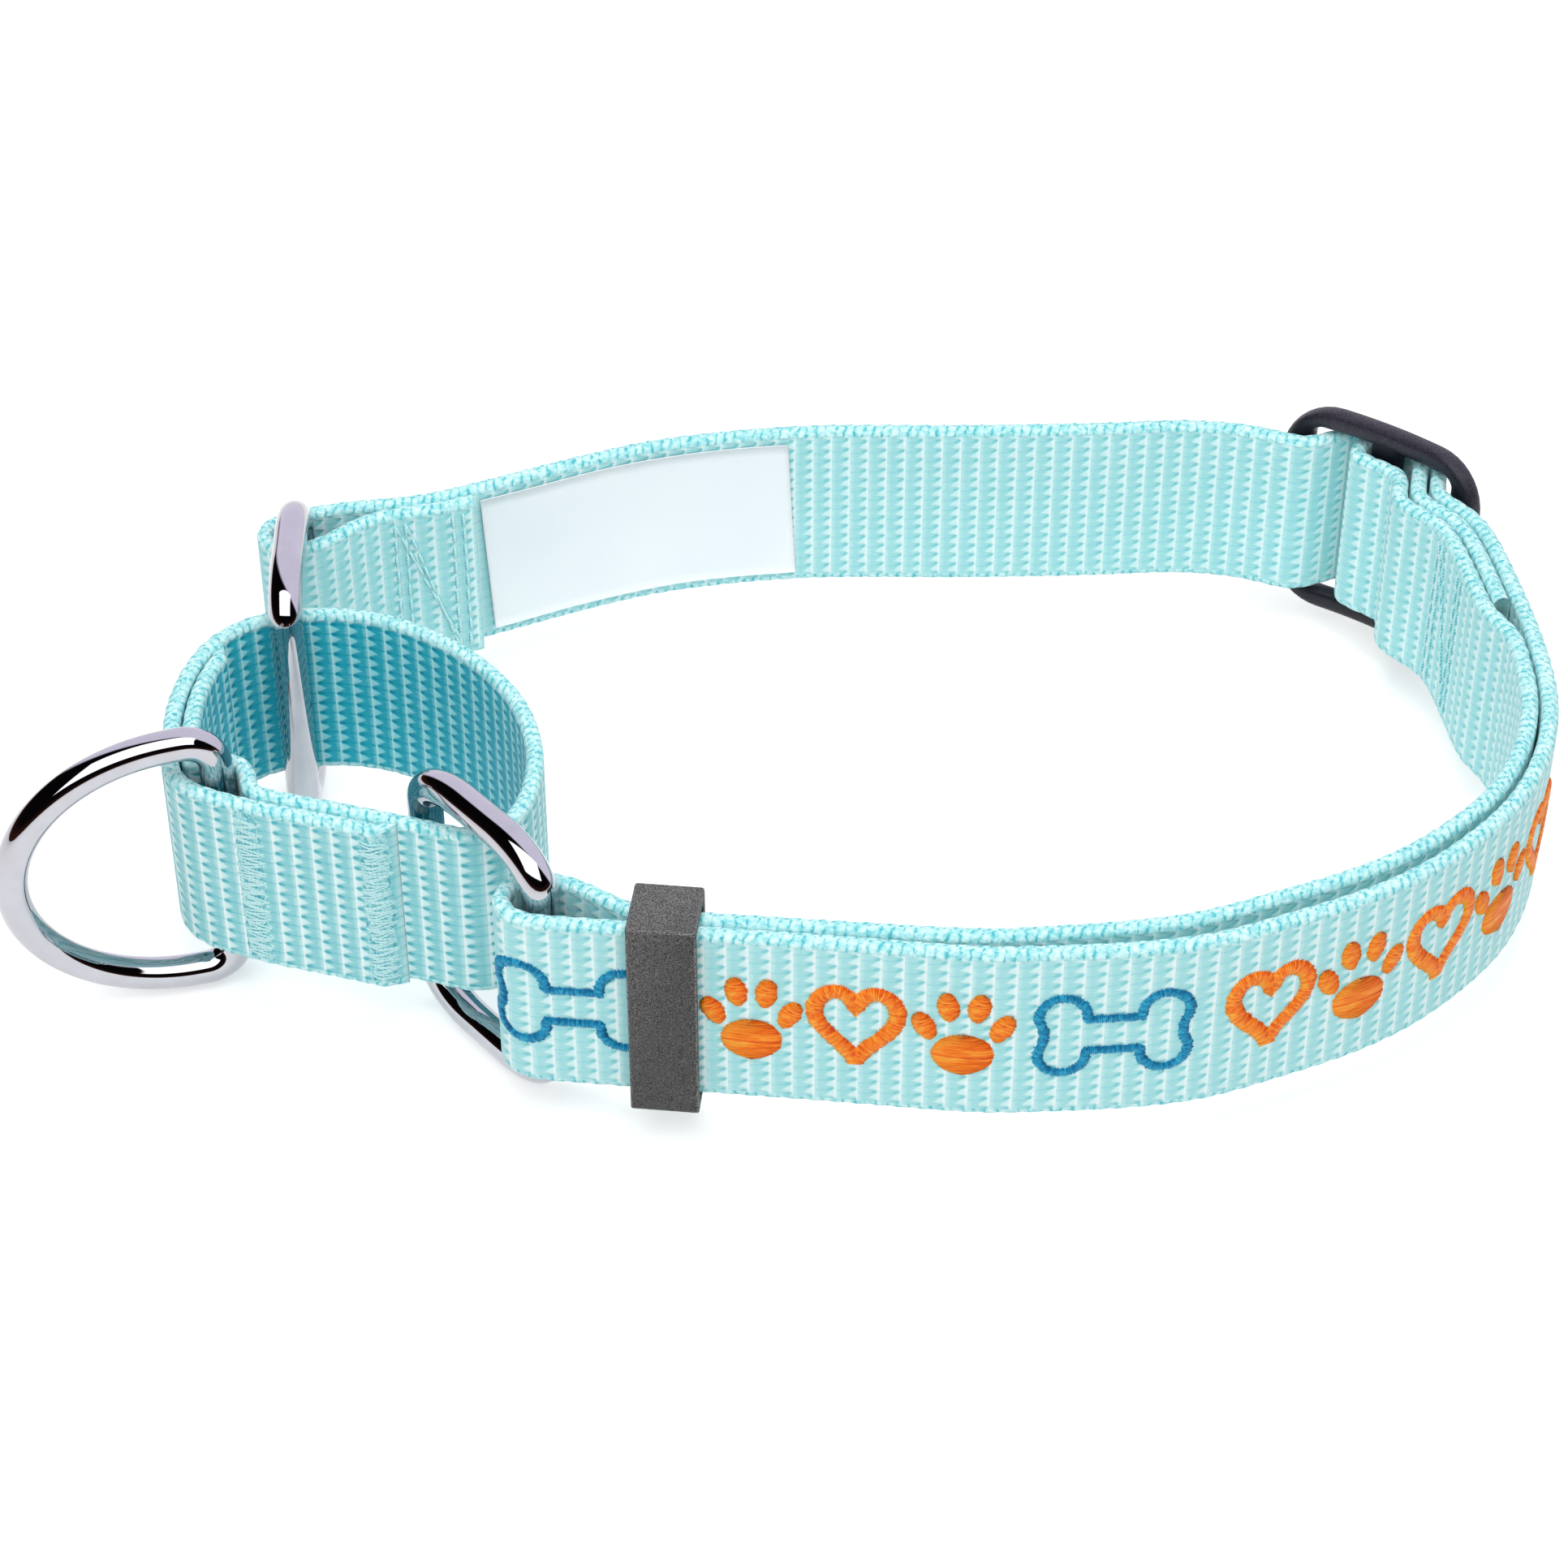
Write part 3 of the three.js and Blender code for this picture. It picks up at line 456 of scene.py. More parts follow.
def outline_of(node):
    """The outline, in plan, of a strip that stands on edge, walked along its lower edge."""
    mesh = frame["nodes"][node].data
    points = np.array([v.co[:] for v in mesh.vertices])
    low = points[:, 2].min() + 0.1 * MM
    keys = {}
    index = [keys.setdefault(tuple(np.round(point / MM, 3)), len(keys)) for point in points]
    unique = np.array(list(keys)) * MM
    links = {}
    for polygon in mesh.polygons:
        corners = [index[v] for v in polygon.vertices]
        if all(unique[c][2] < low for c in corners):
            continue
        for a, b in zip(corners, corners[1:] + corners[:1]):
            if a != b and max(unique[a][2], unique[b][2]) < low:
                links.setdefault(a, set()).add(b)
                links.setdefault(b, set()).add(a)
    start = next(iter(links))
    walk = [start]
    before = None
    while True:
        ahead = [p for p in links[walk[-1]] if p != before]
        before = walk[-1]
        if ahead[0] == start or (len(walk) > 2 and start in ahead):
            break
        walk.append(ahead[0])
    return unique[walk][:, :2]


def middle_of(node, thickness):
    """The middle line of a strip: its outline's two sides, paired across the thickness."""
    outline = outline_of(node)
    half = len(outline) // 2
    best = None
    for start in range(len(outline)):
        rolled = np.roll(outline, -start, axis=0)
        left, right = rolled[:half], rolled[half:][::-1]
        error = np.abs(np.linalg.norm(left - right, axis=1) - thickness).max()
        if best is None or error < best[0]:
            best = (error, (left + right) / 2)
    return best[1]


def even_line(fine, step):
    places = np.concatenate([[0], np.cumsum(np.linalg.norm(np.diff(fine, axis=0), axis=1))])
    count = max(2, int(round(places[-1] / step)) + 1)
    wanted = np.linspace(0, places[-1], count)
    return np.stack([np.interp(wanted, places, fine[:, k]) for k in range(fine.shape[1])], axis=1)


def smooth_line(points, step, settle):
    """An evenly stepped line through the points, its kinks eased over a settling length."""
    fine = even_line(np.asarray(points), step / 4)
    reach = max(1, int(3 * settle / (step / 4)))
    weights = np.exp(-0.5 * (np.arange(-reach, reach + 1) * (step / 4) / settle) ** 2)
    weights /= weights.sum()
    ahead = 2 * fine[-1] - fine[-reach - 1:-1][::-1]
    behind = 2 * fine[0] - fine[1:reach + 1][::-1]
    padded = np.vstack([behind, fine, ahead])
    eased = np.stack([np.convolve(padded[:, k], weights, "valid") for k in range(2)], axis=1)
    return even_line(eased, step)


class Layer:
    """A strap's middle line, from which a point on either face is found."""

    def __init__(self, points, step, settle=SETTLE, facing=0):
        self.facing = facing
        self.line = smooth_line(points, step, settle)
        self.step = np.linalg.norm(self.line[1] - self.line[0])
        ahead = np.gradient(self.line, axis=0)
        self.ahead = ahead / np.linalg.norm(ahead, axis=1)[:, None]
        self.side = np.stack([-self.ahead[:, 1], self.ahead[:, 0]], axis=1)

    def length(self):
        return self.step * (len(self.line) - 1)

    def drawn(self, place, reach):
        """Where a strip lies over itself, the reach of its two ends, sewn down to the turn below."""
        for below, gone in ((-self.facing, place), (self.facing, self.length() - place)):
            sunk = below * HALF * 1.35
            reach = (reach - sunk) * np.clip(gone / END_TAPER, 0.02, 1) ** 0.6 + sunk
        return reach

    def at(self, place, reach):
        """Points in plan, at places along the line and at reaches to its left."""
        if self.facing:
            reach = self.drawn(place, reach)
        index = np.clip(place / self.step, 0, len(self.line) - 1)
        steps = np.arange(len(self.line))
        spot = [np.interp(index, steps, self.line[:, k]) for k in range(2)]
        side = [np.interp(index, steps, self.side[:, k]) for k in range(2)]
        return np.stack([spot[0] + side[0] * reach, spot[1] + side[1] * reach], axis=1)


class Face:
    """The patch of a strap's face under a node: x along the strap, y up, lift out of the face."""

    def __init__(self, layer, node):
        points = np.array([v.co[:2] for v in frame["nodes"][node].data.vertices])
        away = np.linalg.norm(points[:, None] - layer.line[None], axis=2)
        nearest = away.argmin(axis=1)
        self.layer = layer
        self.place = (nearest.min() + nearest.max()) / 2 * layer.step
        across = np.einsum("ij,ij->i", points - layer.line[nearest], layer.side[nearest])
        self.out = float(np.sign(across.mean()))

    def points(self, x, y, lift):
        place = self.place + self.out * np.asarray(x) * -1
        plan = self.layer.at(place, self.out * (HALF + np.asarray(lift)))
        return np.column_stack([plan, MID + np.asarray(y)])


# Webbing

def webbing(name, node, body, facing, mat, lapped=False):
    """A woven strap round a strip's middle line, with a rope-like selvedge on both edges."""
    layer = Layer(middle_of(node, 2 * HALF), COLUMN / 6, facing=facing if lapped else 0)
    flat = WIDTH / 2 - HALF
    across = np.linspace(-flat, flat, 9)
    turn = np.linspace(0, math.pi, 10)[1:-1]
    ring = [(1.0, z, 0.0) for z in across]
    ring += [(math.cos(a), flat, math.sin(a)) for a in turn]
    ring += [(-1.0, z, 0.0) for z in across[::-1]]
    ring += [(-math.cos(a), -flat, -math.sin(a)) for a in turn]
    ring = np.array(ring)
    edge = np.abs(ring[:, 2]) > 0
    vertices = []
    weave = []
    for i in range(len(layer.line)):
        place = i * layer.step
        strand = np.abs(np.sin(math.pi * (place / COLUMN + 0.5 * (ring[:, 0] * facing > 0)))) ** 0.7
        radius = HALF + np.where(edge, (strand - 0.6) * 0.13 * MM, 0)
        reach = ring[:, 0] * radius
        height = ring[:, 1] + ring[:, 2] * radius
        plan = layer.at(np.full(len(ring), place), reach)
        vertices.append(np.column_stack([plan, MID + height]))
        weave.append(np.column_stack([np.full(len(ring), place), height, facing * ring[:, 0]]))
    count = len(ring)
    rows = len(layer.line)
    faces = grid_faces(rows, count, wrap_columns=True)
    faces.append(tuple(range(count)))
    faces.append(tuple((rows - 1) * count + k for k in reversed(range(count))))
    mesh_piece(name, np.concatenate(vertices), faces, mat, body, node,
               {"weave": np.concatenate(weave)})
    return layer


# Wire rings

def arc(cx, cy, rx, ry, start, end, count=16):
    angles = np.radians(np.linspace(start, end, count))
    return [(cx + rx * math.cos(a), cy + ry * math.sin(a)) for a in angles]


def wire_ring(name, outline, wire, hinge, turn, body, weld_share=None):
    """A wire of round section bent round a closed outline in an upright plane."""
    line = even_line(np.array(outline + outline[:1]), 0.6 * MM)[:-1]
    ahead = np.roll(line, -1, axis=0) - np.roll(line, 1, axis=0)
    ahead /= np.linalg.norm(ahead, axis=1)[:, None]
    out = np.stack([-ahead[:, 1], ahead[:, 0]], axis=1)
    angles = np.linspace(0, 2 * math.pi, 28, endpoint=False)
    x = line[:, :1] + out[:, :1] * wire / 2 * np.cos(angles)
    z = line[:, 1:] + out[:, 1:] * wire / 2 * np.cos(angles)
    y = np.broadcast_to(wire / 2 * np.sin(angles), x.shape)
    cos, sin = math.cos(math.radians(turn)), math.sin(math.radians(turn))
    vertices = np.stack([hinge[0] + x * cos - y * sin, hinge[1] + x * sin + y * cos, hinge[2] + z],
                        axis=-1)
    weld = None
    if weld_share is not None:
        weld = tuple(vertices[int(weld_share * len(line)), len(angles) // 4])
    mesh_piece(name, vertices.reshape(-1, 3), grid_faces(len(line), len(angles), True, True),
               chrome_material(name + "_chrome", weld), body, body)


def ring_outline():
    """Straight bars that hold the webbing, joined over its edges by arched limbs."""
    bar = RING_BAR / 2
    far = RING_SPAN - RING_SHOULDER
    return ([(0, -bar), (0, bar)]
            + arc(RING_SHOULDER, bar, RING_SHOULDER, RING_ARCH, 180, 90)
            + arc(far, bar, RING_SHOULDER, RING_ARCH, 90, 0)
            + [(RING_SPAN, -bar)]
            + arc(far, -bar, RING_SHOULDER, RING_ARCH, 0, -90)
            + arc(RING_SHOULDER, -bar, RING_SHOULDER, RING_ARCH, -90, -180))


def leash_outline():
    rise = (LEASH_HEIGHT - LEASH_WIRE) / 2
    bar = rise - LEASH_CORNER
    return ([(0, -bar), (0, bar)]
            + arc(LEASH_CORNER, bar, LEASH_CORNER, LEASH_CORNER, 180, 90)
            + arc(LEASH_LIMB, 0, LEASH_REACH - LEASH_LIMB, rise, 90, -90, 60)
            + arc(LEASH_CORNER, -bar, LEASH_CORNER, LEASH_CORNER, -90, -180))


# Slider

def rounded_rectangle(half_width, half_height, corner, steps=10):
    """A closed outline, from the right side anticlockwise, with the same count at any size."""
    w, h = half_width - corner, half_height - corner
    corners = [(w, h, 0), (-w, h, 90), (-w, -h, 180), (w, -h, 270)]
    points = []
    for x, y, start in corners:
        points += arc(x, y, corner, corner, start, start + 90, steps)
    full = []
    for a, b in zip(points, points[1:] + points[:1]):
        full.append(a)
        if math.dist(a, b) > 4 * MM:
            full += [tuple(np.array(a) + (np.array(b) - a) * k / 12) for k in range(1, 12)]
    return np.array(full)


def slider():
    """A moulded frame with a domed rim and a centre bar, bent as the strap bends."""
    mesh = frame["nodes"]["slider"].data
    points = np.array([v.co[:] for v in mesh.vertices])
    origin = np.array(joints["slider_tilt"]["pos_m"][:2])
    plan = points[:, :2] - origin
    along = np.linalg.svd(plan - plan.mean(axis=0), full_matrices=False)[2][0]
    across = np.array([-along[1], along[0]])
    u, v = plan @ along, plan @ across
    bend = np.polyfit(u, v, 2)

    def bent(u, z, lift):
        mid = np.polyval(bend, u)
        slope = np.polyval(np.polyder(bend), u)
        size = np.sqrt(1 + slope ** 2)
        flat = np.stack([u - lift * slope / size, mid + lift / size], axis=-1)
        place = origin + flat @ np.stack([along, across])
        return np.concatenate([place, (MID + z)[..., None]], axis=-1)

    half_width = CENTRE_BAR / 2 + SLOT + END_BAR
    half = SLIDER_THICKNESS / 2
    outer = rounded_rectangle(half_width, SLIDER_HEIGHT / 2, SLIDER_CORNER)
    inner = rounded_rectangle(half_width - END_BAR, SLOT_HEIGHT / 2, SLOT_CORNER)
    turn = np.linspace(0, 2 * math.pi, 24, endpoint=False)
    reach = np.sign(np.cos(turn)) * np.abs(np.cos(turn)) ** 0.75
    lift = np.sign(np.sin(turn)) * np.abs(np.sin(turn)) ** 0.75 * half
    middle, spread = (outer + inner) / 2, (outer - inner) / 2
    rim = middle[:, None] + spread[:, None] * reach[None, :, None]
    rim = bent(rim[..., 0], rim[..., 1], np.broadcast_to(lift, rim.shape[:2]))
    height = np.linspace(-SLOT_HEIGHT / 2 - 1.2 * MM, SLOT_HEIGHT / 2 + 1.2 * MM, 14)
    bar_u = np.broadcast_to(reach * CENTRE_BAR / 2, (len(height), len(turn)))
    bar = bent(bar_u, np.broadcast_to(height[:, None], bar_u.shape),
               np.broadcast_to(lift * 0.92, bar_u.shape))
    rim_points, bar_points = rim.reshape(-1, 3), bar.reshape(-1, 3)
    faces = grid_faces(len(outer), len(turn), True, True)
    faces += grid_faces(len(height), len(turn), False, True, start=len(rim_points))
    rub = np.broadcast_to(np.abs(reach) ** 6, rim.shape[:2]).ravel() * 0.25
    # upward marks the top band of the frame, which the material lightens as painted light from above.
    upward = np.clip(outer[:, 1] / (SLIDER_HEIGHT / 2), 0, 1)[:, None] ** 6 * np.ones(len(turn))
    wear = np.zeros((len(rim_points) + len(bar_points), 3))
    wear[:len(rim_points), 0] = rub
    wear[:len(rim_points), 1] = upward.ravel()
    mesh_piece("slider_frame", np.concatenate([rim_points, bar_points]), faces, SLIDER, "slider",
               "slider", {"wear": wear})


def keeper():
    """A moulded sleeve: the solid's own shape with its edges eased and a little worn."""
    source = frame["nodes"]["keeper"].data
    shape = bmesh.new()
    shape.from_mesh(source)
    bmesh.ops.remove_doubles(shape, verts=shape.verts, dist=0.01 * MM)
    bmesh.ops.dissolve_limit(shape, angle_limit=math.radians(2), verts=shape.verts, edges=shape.edges)
    bmesh.ops.bevel(shape, geom=shape.edges[:], offset=0.32 * MM, segments=3, profile=0.6,
                    affect="EDGES", clamp_overlap=True)
    wear = shape.verts.layers.float_vector.new("wear")
    for vertex in shape.verts:
        turns = [face.normal for face in vertex.link_faces]
        sharp = max((a.angle(b, 0) for a in turns for b in turns), default=0)
        # The second value marks faces that look up, which the material lightens as painted light; the
        # first marks sharp edges, rubbed pale.
        vertex[wear] = Vector((min(1.0, sharp / math.radians(30)), max(0.0, vertex.normal.z) ** 4, 0))
    mesh = bpy.data.meshes.new("keeper_sleeve")
    shape.to_mesh(mesh)
    shape.free()
    mesh.shade_smooth()
    return dressed("keeper_sleeve", mesh, KEEPER, "keeper", "keeper")


# Embroidery

def satin_stroke(face, path, width, closed=False, rise=THREAD_RISE, widths=None):
    """A ridge of threads laid across a path, with the uneven edge that the threads' ends make."""
    path = np.array(path, dtype=float)
    if closed:
        path = np.vstack([path, path[:1]])
    share = None
    if widths is not None:
        path = np.column_stack([path, np.asarray(widths)])
    line = even_line(path, THREAD_PITCH / 2)
    if widths is not None:
        share = line[:, 2]
        line = line[:, :2]
    if closed:
        line = line[:-1]
        ahead = np.roll(line, -1, axis=0) - np.roll(line, 1, axis=0)
    else:
        ahead = np.gradient(line, axis=0)
    ahead /= np.maximum(np.linalg.norm(ahead, axis=1), 1e-9)[:, None]
    side = np.stack([-ahead[:, 1], ahead[:, 0]], axis=1)
    half = np.full(len(line), width / 2) if share is None else share / 2
    if not closed and widths is None:
        ends = np.minimum(np.arange(len(line)), np.arange(len(line))[::-1]) * THREAD_PITCH / 2
        half = half * np.minimum(1, 0.55 + 0.45 * ends / (2 * THREAD_PITCH))
    ragged = rng.uniform(-0.05, 0.2, (len(line), 2)) * MM
    ragged[1::2] = rng.uniform(-0.22, -0.08, ragged[1::2].shape) * MM
    angles = np.linspace(0, math.pi, 9)
    across = np.cos(angles)
    x = []
    y = []
    lift = []
    for i, (spot, normal) in enumerate(zip(line, side)):
        left = half[i] + ragged[i, 0]
        right = half[i] + ragged[i, 1]
        reach = np.where(across > 0, across * left, across * right)
        x.append(spot[0] + normal[0] * reach)
        y.append(spot[1] + normal[1] * reach)
        crest = rise * min(1.0, half[i] / (0.3 * MM) + 0.1) * rng.uniform(0.92, 1.06)
        lift.append(np.sin(angles) ** 0.8 * crest - 0.03 * MM)
    x, y, lift = (np.array(values) for values in (x, y, lift))
    vertices = face.points(x.ravel(), y.ravel(), lift.ravel())
    # The stitch's third value is painted light: it is higher on the side of each stroke that faces one
    # fixed direction in the face, and lower on the other.
    light = side[:, :1] * -0.6 + side[:, 1:] * -0.5
    stitch = np.column_stack([
        np.repeat((np.arange(len(line)) + 1) * THREAD_PITCH / 2, len(angles)),
        np.tile(across, len(line)) * MM,
        (light * across[None, :] * 1.2).ravel()])
    return vertices, grid_faces(len(line), len(angles), wrap_rows=closed), stitch


def joined(name, strokes, mat, body, replaces):
    vertices = []
    faces = []
    stitch = []
    for points, quads, values in strokes:
        offset = sum(len(v) for v in vertices)
        faces += [tuple(k + offset for k in quad) for quad in quads]
        vertices.append(points)
        stitch.append(values)
    mesh_piece(name, np.concatenate(vertices), faces, mat, body, replaces,
               {"stitch": np.concatenate(stitch)})


def bone_path():
    """A bone's outline: two lobes at each end with a dent between them, and straight sides."""
    lobe = 0.27 * BONE_HEIGHT
    waist = 0.19 * BONE_HEIGHT
    radius = lobe - BONE_STROKE / 2
    end = BONE_LENGTH / 2 - lobe
    rise = BONE_HEIGHT / 2 - lobe
    meet = math.degrees(math.asin(max(min((rise - waist) / radius, 1), -1)))
    dent = end + 0.74 * radius
    right = arc(end, rise, radius, radius, 180 + meet, -36)
    right += [(dent, 0)] + [(x, -y) for x, y in reversed(right)]
    return right + [(-x, -y) for x, y in right]


def heart_path():
    half, top = MOTIF_WIDTH / 2 - MOTIF_STROKE / 2, MOTIF_HEIGHT / 2 - MOTIF_STROKE / 2
    shares = np.linspace(0, 2 * math.pi, 90, endpoint=False)
    x = half * np.sin(shares) ** 3
    y = top * (13 * np.cos(shares) - 5 * np.cos(2 * shares) - 2 * np.cos(3 * shares)
               - np.cos(4 * shares) + 2.5) / 14.5
    return list(zip(x, y))


def pad(face, x, y, width, height, turn):
    """A filled oval: threads laid across it, shortest at its two ends."""
    share = np.linspace(-1, 1, 40)
    tilt = math.radians(turn)
    path = [(x - math.sin(tilt) * t * height / 2, y + math.cos(tilt) * t * height / 2) for t in share]
    widths = width * np.sqrt(np.maximum(1 - share ** 2, 0.003))
    return satin_stroke(face, path, width, widths=widths, rise=1.15 * THREAD_RISE)


TOE_SHARES = [(-0.38, 0.1, 25), (-0.15, 0.34, 8), (0.15, 0.34, -8), (0.38, 0.1, -25)]


def paw(face):
    strokes = [pad(face, 0, -0.22 * MOTIF_HEIGHT, 0.62 * MOTIF_WIDTH, 0.46 * MOTIF_HEIGHT, 0)]
    for x, y, turn in TOE_SHARES:
        strokes.append(pad(face, x * MOTIF_WIDTH, y * MOTIF_HEIGHT,
                           0.22 * MOTIF_WIDTH, 0.32 * MOTIF_HEIGHT, turn))
    return strokes


# Seams

def stitches(face, path, length=SEAM_STITCH, thread=SEAM_THREAD):
    """A run of stitches: short rounds of thread that dip into the webbing at their ends."""
    strokes = []
    path = np.array(path)
    for start, end in zip(path[:-1], path[1:]):
        span = np.linalg.norm(end - start)
        count = max(1, int(round(span / length)))
        along = (end - start) / span
        side = np.array([-along[1], along[0]])
        for k in range(count):
            share = np.linspace(0.04, 0.96, 8)
            place = (k + share)[:, None] / count * span
            arch = np.sin(math.pi * np.linspace(0, 1, 8)) ** 0.6
            angles = np.linspace(0, math.pi, 6)
            reach = np.cos(angles) * thread / 2 * (0.45 + 0.55 * arch[:, None])
            lift = np.sin(angles) * 0.55 * thread * (0.3 + 0.7 * arch[:, None])
            lift = lift + (arch[:, None] - 0.85) * 0.1 * MM
            wobble = rng.uniform(-0.06, 0.06) * MM
            x = start[0] + along[0] * place + side[0] * (reach + wobble)
            y = start[1] + along[1] * place + side[1] * (reach + wobble)
            vertices = face.points(x.ravel(), y.ravel(), lift.ravel())
            stitch = np.column_stack([np.repeat(place.ravel(), len(angles)), reach.ravel(),
                                      np.tile(np.cos(angles), len(share))])
            strokes.append((vertices, grid_faces(len(share), len(angles)), stitch))
    return strokes


def tack(face, width, turns=30):
    """A dense zigzag across the strap, sewn over twice."""
    rise = WIDTH - 2 * SEAM_MARGIN
    strokes = []
    for start in (0, 0.5):
        path = [((-1) ** i * width / 2 * rng.uniform(0.7, 1.12),
                 rise * (i + start + rng.uniform(-0.25, 0.25)) / turns - rise / 2) for i in range(turns)]
        strokes += stitches(face, path, length=width * 2, thread=TACK_THREAD)
    return strokes


def bed(name, face, width, body):
    """A thin patch where stitching has drawn the weave together, sunk at its four sides."""
    across = np.linspace(-1, 1, 9)
    up = np.linspace(-1, 1, 41)
    x = np.broadcast_to(across * width / 2, (len(up), len(across)))
    x = x + rng.uniform(-0.1, 0.1, x.shape) * MM
    y = np.broadcast_to(up[:, None] * (WIDTH / 2 - SEAM_MARGIN / 2), x.shape)
    sunk = np.maximum(np.abs(across)[None, :] ** 6, np.abs(up)[:, None] ** 30)
    lift = 0.06 * MM - 0.12 * MM * sunk
    mesh_piece(name, face.points(x.ravel(), y.ravel(), lift.ravel()), grid_faces(len(up), len(across)),
               BED, body)


def slanted_seam(face, width, gap=1.5 * MM):
    """A line of stitches at each side, doubled, and a slanted pair between them."""
    rise = WIDTH / 2 - SEAM_MARGIN
    half = width / 2
    lines = [[(-half, -rise), (-half, rise)], [(-half + gap, rise), (-half + gap, -rise)],
             [(-half + gap, rise), (half - gap, -rise)], [(-half, rise), (half - gap, -rise + gap)],
             [(half - gap, -rise), (half - gap, rise)], [(half, rise), (half, -rise)]]
    return [stroke for line in lines for stroke in stitches(face, line)]


def label():
    """A ribbon on the strap's inner face, a little out of square with it."""
    layer = Layer(middle_of("label", LABEL_THICKNESS), LABEL_STEP, LABEL_STEP)
    low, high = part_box("label")
    half = (high[2] - low[2]) / 2
    rows = len(layer.line)
    heights = np.linspace(-half, half, 15)
    sheet = []
    weave = []
    for sign in (1, -1):
        for i in range(rows):
            place = i * layer.step + LABEL_LEAN * heights
            inside = np.clip(place, 0, layer.length())
            ahead = np.where(place[:, None] < 0, layer.ahead[0], layer.ahead[-1])
            over = (place - inside)[:, None] * ahead
            wave = 0.06 * MM * np.sin(place / (3.1 * MM) + heights / (4.3 * MM))
            plan = layer.at(inside, sign * LABEL_HALF + wave) + over
            sheet.append(np.column_stack([plan, MID + heights]))
            weave.append(np.column_stack([place, heights, np.zeros(len(heights))]))
    count = len(heights)
    faces = grid_faces(rows, count)
    faces += [tuple(reversed(f)) for f in grid_faces(rows, count, start=rows * count)]
    rim = [i * count for i in range(rows)] + [(rows - 1) * count + j for j in range(1, count)]
    rim += [i * count + count - 1 for i in reversed(range(rows - 1))]
    rim += list(reversed(range(1, count - 1)))
    shift = rows * count
    for a, b in zip(rim, rim[1:] + rim[:1]):
        faces.append((b, a, a + shift, b + shift))
    obj = mesh_piece("label_ribbon", np.concatenate(sheet), faces, LABEL, "strap",
                     "label", {"weave": np.concatenate(weave)})


WEBBING = webbing_material("webbing", 0.3, MAIN_COLOURS, MAIN_COLOURS)
# The loop's webbing is a copy with painted shade, deepest on its inner face.
LOOP_WEBBING = webbing_material("loop_webbing", 0.0, LOOP_SHADED_COLOURS, LOOP_INNER_SHADED_COLOURS)
# Each moulding: its grain's dark and light colours, the lighter colour of its upper faces, which is
# painted light, and the colour of its worn edges.
SLIDER = moulded_material("slider_moulding", colour(14, 13, 22), colour(24, 23, 34), colour(58, 54, 66),
                          colour(100, 96, 110), grain=5200, rough=0.4, bump=0.15)
KEEPER = moulded_material("keeper_moulding", colour(22, 22, 22), colour(30, 30, 30), colour(66, 66, 68),
                          colour(150, 149, 148), grain=7000, rough=0.6, bump=0.4)
BLUE = satin_material("blue_satin", colour(0, 78, 120), colour(4, 132, 180), colour(64, 188, 220))
ORANGE = satin_material("orange_satin", colour(206, 52, 0), colour(255, 122, 12), colour(255, 186, 70))
SEAM = seam_material()
BED = bed_material()
LABEL = label_material()

main_layer = webbing("main_webbing", "main_strap", "strap", -1, WEBBING)
loop_layer = webbing("loop_webbing", "control_loop", "control_loop", 1, LOOP_WEBBING, lapped=True)
wire_ring("front_wire", ring_outline(), RING_WIRE, joints["front_ring_swing"]["pos_m"], FRONT_TURN,
          "front_ring")
wire_ring("back_wire", ring_outline(), RING_WIRE, joints["back_ring_swing"]["pos_m"], BACK_TURN,
          "back_ring", weld_share=0.62)
wire_ring("leash_wire", leash_outline(), LEASH_WIRE, joints["leash_ring_swing"]["pos_m"], LEASH_TURN,
          "leash_ring")
slider()
keeper()
label()

for number in (1, 2):
    node = f"bone_outline_{number}"
    face = Face(main_layer, node)
    joined(f"bone_stitching_{number}", [satin_stroke(face, bone_path(), BONE_STROKE, closed=True)], BLUE,
           "strap", node)
for number, kind in enumerate(["paw", "heart"] * 4, 1):
    node = f"motif_{number}"
    face = Face(main_layer, node)
    if kind == "paw":
        strokes = paw(face)
    else:
        strokes = [satin_stroke(face, heart_path(), MOTIF_STROKE, closed=True)]
    joined(f"motif_stitching_{number}", strokes, ORANGE, "strap", node)
for name, node, layer, body, sew, width in (
        ("leash_tacking", "leash_tack", loop_layer, "control_loop", tack, TACK_WIDTH),
        ("front_tacking", "front_tack", loop_layer, "control_loop", tack, TACK_WIDTH),
        ("tail_stitching", "tail_seam", main_layer, "strap", slanted_seam, TAIL_SEAM_WIDTH),
        ("slider_stitching", "slider_seam", main_layer, "strap", slanted_seam, SLIDER_SEAM_WIDTH)):
    face = Face(layer, node)
    joined(name, sew(face, width), SEAM, body, node)
    if layer is loop_layer:
        bed(name + "_bed", face, TACK_BED_WIDTH, body)


# Camera, floor and light: the camera's distance and height from the collar, and its lens and tilt

CAMERA_FAR = 311.0 * MM
CAMERA_HIGH = 280.7 * MM
CAMERA_LENS = 81.99
CAMERA_TILT = 52
PLAN_SHIFT = (-0.5583 * MM, -58.0204 * MM)
camera = bpy.data.cameras.new("camera")
camera.lens = CAMERA_LENS
camera.sensor_width = 36
camera_object = bpy.data.objects.new("camera", camera)
camera_object.location = (PLAN_SHIFT[0], PLAN_SHIFT[1] - CAMERA_FAR, MID + CAMERA_HIGH)
camera_object.rotation_euler = (math.radians(CAMERA_TILT), 0, 0)
bpy.context.collection.objects.link(camera_object)
bpy.context.scene.camera = camera_object

